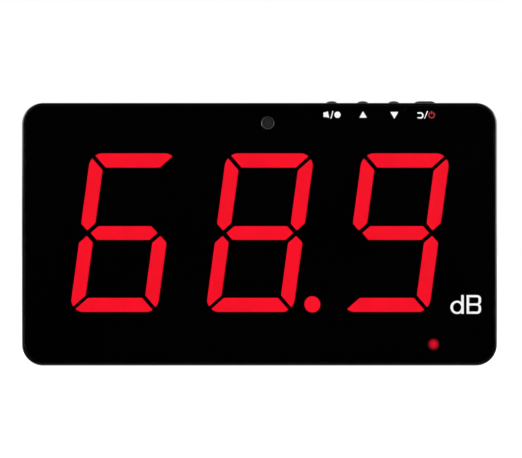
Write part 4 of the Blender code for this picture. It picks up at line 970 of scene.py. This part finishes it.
def make_key(name):
    """One key: stem, flange and a cap whose top is a quarter ellipse carried round the key's outline."""
    low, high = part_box(f"{name}_key")
    flange_top = TOP - WALL - FIT
    flange_low = flange_top - KEY_FLANGE_THICKNESS
    shoulder = high.z - KEY_DOME_DROP - KEY_CROWN
    crown = arc((-1.0, 0.0), 1.0, 0, 90, steps=9) * (KEY_CROWN_REACH, KEY_CROWN) + (0, shoulder)
    profile = [(-KEY_STEM, low.z), (-KEY_STEM, flange_low), (KEY_FLANGE, flange_low),
               (KEY_FLANGE, flange_top), (0, flange_top), *crown]
    cap = new_piece(f"{name}_cap", sweep(key_outline(name), profile, "Z"))
    finish_piece(cap, f"{name}_button", "key_black", [SATIN_ABS], [f"{name}_key"])


def make_power_socket():
    """Power inlet: a drawn shell swept round its mouth's outline, a tongue with contacts inside it, and
    a foam gasket that closes the gap between the shell and the case."""
    outline = bar(*SOCKET_SIZE, SOCKET)
    end = SOCKET_HIGH.x
    root = end - SOCKET_DEPTH
    profile = [(0, SOCKET_LOW.x), (0, end - SOCKET_LIP), (-SOCKET_LIP, end),
               (SOCKET_LIP - SOCKET_WALL, end), (-SOCKET_WALL, end - SOCKET_LIP), (-SOCKET_WALL, root)]
    shell = new_piece("power_inlet", sweep(outline, profile, "X"))
    finish_piece(shell, "meter", "plated_steel", [NICKEL], ["power_socket"])
    tip = root + TONGUE_LENGTH
    profile = [(0, root), (0, tip - SOCKET_LIP), (-SOCKET_LIP, tip)]
    across = bar(TONGUE_THICKNESS, TONGUE_WIDTH, SOCKET, TONGUE_CORNER)
    tongue = new_piece("power_inlet_tongue", sweep(across, profile, "X"))
    finish_piece(tongue, "meter", "chip_black", [socket_tongue_plastic()])
    seat = CASE_HIGH.x - WALL - GASKET_GAP
    front = seat - GASKET_DEPTH
    profile = [(GASKET_GAP, front), (GASKET_GAP, seat), (GASKET_WIDTH, seat), (GASKET_WIDTH, front)]
    rings = [ring(outline, *step, "X") for step in profile]
    gasket = new_piece("power_inlet_gasket", loft(rings, close=True))
    finish_piece(gasket, "meter", "foam_black", [RUBBER])


def make_case_screws():
    """Pan-head screws: a turned profile with a tapered cross pressed into the head, copied to each post."""
    head = CASE_SCREWS["left_bottom"][1].y
    seat = head - HEAD_HEIGHT
    tip = seat - SCREW_LENGTH
    shank = SHANK_RADIUS - HEAD_RADIUS
    profile = [(TIP_RADIUS - HEAD_RADIUS, tip), (shank, tip + TIP_TAPER), (shank, seat), (0, seat)]
    profile += fillet((-HEAD_ROUND, head - HEAD_ROUND), HEAD_ROUND, 0, 90, steps=8)
    screw = new_piece("screw", sweep(circle(HEAD_RADIUS, sides=ROD_SIDES), profile))
    arms = [bar(*size, (0, 0), CROSS_CORNER)
            for size in ((CROSS_ARM, CROSS_WIDTH), (CROSS_WIDTH, CROSS_ARM))]
    cuts = [pocket("arm", arm, head - CROSS_DEPTH, head, edge=CROSS_EDGE) for arm in arms]
    combine(screw, cuts, "DIFFERENCE")
    for name, box in CASE_SCREWS.items():
        across, up = middle(box)
        copy = new_object(f"cover_screw_{name}", screw.data.copy())
        copy.data.transform(Matrix.Translation((across, 0, up)))
        finish_piece(copy, "meter", "plated_steel", [STEEL], [f"case_screw_{name}"])
    bpy.data.objects.remove(screw)


# Printed signs

def return_stroke():
    """A hooked stroke from the upper left, round a half circle and back to a thinner lower left end."""
    stroke, tail = 0.76, 0.4
    path = np.vstack([[(-1.35, 0.92)], arc((0.13, -0.33), 1.3, 90, -90, steps=16), [(-1.5, -1.45)]])
    width = np.full((len(path), 1), stroke)
    width[-1] = tail
    return band(path, width)


# Place of each sign along the sign line, and its shapes about that place, in millimetres. The power sign
# is a ring open at the top, with a short bar in the gap.
SIGNS = {
    "mute_sign": (34.55, [(-1.4, 1.25), (-1.4, -1.2), (0.4, -1.2), (1.5, -1.65), (0.85, 1.8), (-0.3, 1.3)]),
    "mute_slash": (37.46, [(-0.75, -1.95), (-0.25, -1.95), (0.8, 2.0), (0.3, 2.0)]),
    "hold_sign": (40.38, circle(1.62)[0]),
    "up_sign": (53.6, [(-1.93, -1.52), (1.93, -1.52), (0.0, 1.85)]),
    "down_sign": (69.79, [(-2.05, 1.5), (0.0, -2.1), (2.05, 1.5)]),
    "return_sign": (83.15, return_stroke()),
    "power_slash": (86.15, [(-0.92, -2.1), (-0.6, -2.1), (1.15, 1.95), (0.6, 1.95)]),
    "power_sign": (89.1, band(arc((0.0, -0.15), 1.45, 116, 424, steps=40), 0.5),
                   [(-0.25, 0.3), (0.25, 0.3), (0.25, 2.0), (-0.25, 2.0)]),
}


def unit_letters():
    """The decibel sign's loops in metres: a round bowl with a stem, and a stem with two bowls."""
    top = UNIT_FOOT + UNIT_HEIGHT
    centre = np.array([UNIT_LEFT + UNIT_BOWL, UNIT_FOOT + UNIT_BOWL - UNIT_DIP])
    stem_right = UNIT_LEFT + 2 * UNIT_BOWL
    stem_left = stem_right - UNIT_STROKE
    meets = np.degrees(np.arccos((stem_left - centre[0]) / UNIT_BOWL))
    stem = [(stem_left, UNIT_FOOT), (stem_right, UNIT_FOOT), (stem_right, top), (stem_left, top)]
    d_outer = np.vstack([arc(centre, UNIT_BOWL, meets, 360 - meets, steps=40), stem])
    hole_size = (UNIT_BOWL - UNIT_STROKE, UNIT_BOWL - UNIT_BOWL_STROKE)
    d_hole = centre + circle(1.0, sides=36)[0] * hole_size
    left = stem_right + UNIT_LETTER_GAP
    right = left + UNIT_B_WIDTH
    waist = UNIT_FOOT + UNIT_HEIGHT / 2
    bend = right - UNIT_ROUND
    lift = UNIT_ROUND * np.sin(np.radians(UNIT_PINCH))
    b_outer = np.vstack([
        [(left, UNIT_FOOT)], arc((bend, UNIT_FOOT + UNIT_ROUND), UNIT_ROUND, -90, 0),
        arc((bend, waist - lift), UNIT_ROUND, 0, UNIT_PINCH),
        arc((bend, waist + lift), UNIT_ROUND, -UNIT_PINCH, 0),
        arc((bend, top - UNIT_ROUND), UNIT_ROUND, 0, 90), [(left, top)]])
    half_bar = UNIT_THIN_STROKE / 2
    inner_left, inner_right = left + UNIT_STROKE, right - UNIT_STROKE
    radii = [UNIT_HOLE_CORNER, UNIT_HOLE_ROUND, UNIT_HOLE_ROUND, UNIT_HOLE_CORNER]
    holes = []
    for low, high in ((UNIT_FOOT + UNIT_THIN_STROKE, waist - half_bar),
                      (waist + half_bar, top - UNIT_THIN_STROKE)):
        corners = [(inner_left, low), (inner_right, low), (inner_right, high), (inner_left, high)]
        holes.append(rounded(corners, radii)[0])
    return [[d_outer, d_hole], [b_outer, *holes]]


def make_signs():
    """Ink laid on the window's face."""
    back = WINDOW_LOW.y
    front = back - INK
    white = ("reflector_white", [screen_ink("white_screen_ink", "#e8e8e6", "#f4f4f2")])
    red = ("status_red", [screen_ink("red_screen_ink", "#b01a30", "#c4243a")])
    for name, (across, *shapes) in SIGNS.items():
        centre = np.array([across * MM, TOP - SIGN_DROP])
        skins = [sheet([centre + np.array(shape) * MM], front, back) for shape in shapes]
        sign = new_piece(name, gathered(skins))
        finish_piece(sign, "meter", *(red if name == "power_sign" else white))
    unit = new_piece("unit_sign", gathered([sheet(loops, front, back) for loops in unit_letters()]))
    finish_piece(unit, "meter", *white)


# Stage

def seen(tree):
    """1 for what the camera, a mirror or glass shows, and 0 for what only lights the part."""
    path = add(tree, "ShaderNodeLightPath").outputs
    shown = add(tree, "ShaderNodeMath", {"operation": "MAXIMUM"},
                {0: path["Is Camera Ray"], 1: path["Is Glossy Ray"]})
    shown = add(tree, "ShaderNodeMath", {"operation": "MAXIMUM"},
                {0: shown.outputs[0], 1: path["Is Transmission Ray"]})
    return shown.outputs[0]


def pale_floor():
    """Pale matt paint that takes shadows and shows the white background to the camera and in mirrors."""
    made = new_material("pale_floor", "#a8a8a8", {"Roughness": 0.9})
    tree = made.node_tree
    level = add(tree, "ShaderNodeMath", {"operation": "MULTIPLY", 1: FLOOR_GLOW}, {0: seen(tree)})
    light = add(tree, "ShaderNodeEmission", {"Color": (1, 1, 1, 1)}, {"Strength": level.outputs[0]})
    both = add(tree, "ShaderNodeAddShader", None,
               {0: tree.nodes["Principled BSDF"].outputs[0], 1: light.outputs[0]})
    tree.links.new(both.outputs[0], tree.nodes["Material Output"].inputs["Surface"])
    return made


def flag(across, reach, height):
    """A flat upright rectangle beside the case, from near to far."""
    near, far = reach
    corners = [(near, CARD_RISE), (near, height), (far, height), (far, CARD_RISE)]
    return np.insert(np.array(corners), 0, across, axis=1), [[0, 1, 2, 3]]


def make_stage():
    """Pale floor, and a black card and flags that only mirrors see.

    The card is a strip from the case along the floor, then up and over on an arc.
    """
    outline = rectangle((-FLOOR_HALF, -FLOOR_HALF), (FLOOR_HALF, FLOOR_HALF), FLOOR_CORNER)
    floor = new_piece("floor", sweep(outline, [(0, -FLOOR_THICKNESS), (0, 0.0)], "Z"))
    floor.data.materials.append(pale_floor())
    bend = arc(*CARD_BEND)
    edge = np.vstack([[(CASE_LOW.y - CARD_START, CARD_RISE)], [(bend[0, 0], CARD_RISE)], bend])
    count = len(edge)
    half = np.full(count, CARD_FAR)
    half[0] = CARD_NEAR
    strip = np.concatenate([np.insert(edge, 0, -half, axis=1), np.insert(edge, 0, half, axis=1)])
    at = np.arange(count - 1)
    faces = np.stack([at, at + 1, at + 1 + count, at + count], axis=1).tolist()
    skins = [(strip, faces), flag(*LEFT_FLAG), flag(*RIGHT_FLAG)]
    card = new_piece("black_card", gathered(skins))
    velvet = {"Roughness": 1.0, "Specular IOR Level": 0.0}
    card.data.materials.append(new_material("black_velvet", "#030303", velvet))
    card.visible_camera = False
    card.visible_diffuse = False
    card.visible_shadow = False


def make_room():
    """White surroundings, dimmer where they only light the part."""
    world = bpy.data.worlds.new("white_room")
    scene.world = world
    world.use_nodes = True
    tree = world.node_tree
    tree.nodes.clear()
    fill = add(tree, "ShaderNodeBackground", {"Color": (1, 1, 1, 1), "Strength": ROOM_FILL})
    white = add(tree, "ShaderNodeBackground", {"Color": (1, 1, 1, 1), "Strength": 1.0})
    mixed = add(tree, "ShaderNodeMixShader", None,
                {0: seen(tree), 1: fill.outputs[0], 2: white.outputs[0]})
    add(tree, "ShaderNodeOutputWorld", None, {"Surface": mixed.outputs[0]})


def make_lamps():
    """Rectangular soft lamps on both sides, each facing straight across."""
    for name, (place, size, power) in LAMPS.items():
        lamp = bpy.data.lights.new(name, "AREA")
        lamp.shape = "RECTANGLE"
        lamp.size, lamp.size_y = size
        lamp.energy = power
        holder = new_object(name, lamp)
        holder.location = place
        holder.rotation_euler = Vector((-place[0], 0, 0)).to_track_quat("-Z", "Y").to_euler()


def make_camera():
    """A long lens square on to the front. The lens gives the photograph's scale at the case's side edge."""
    edge = CASE_LOW.y + FRONT_EDGE
    across, up = (offset / PIXELS_PER_METRE for offset in CENTRE_PIXEL_OFFSET)
    camera = bpy.data.cameras.new("camera")
    camera.sensor_width = SENSOR_WIDTH
    camera.lens = SENSOR_WIDTH * CAMERA_DISTANCE * PIXELS_PER_METRE / IMAGE_WIDTH
    holder = new_object("camera", camera)
    holder.location = (across, edge - CAMERA_DISTANCE, TOP / 2 + up)
    holder.rotation_euler = (np.pi / 2, 0, 0)
    scene.camera = holder


make_camera()
make_lamps()
make_stage()
make_room()
dress_nodes()
make_front_shell()
make_rear_shell()
make_stand()
make_window()
make_digit_lights()
make_status_spot()
make_microphone_felt()
for key_name in KEYS:
    make_key(key_name)
make_power_socket()
make_case_screws()
make_signs()
scene.view_settings.view_transform = "Standard"
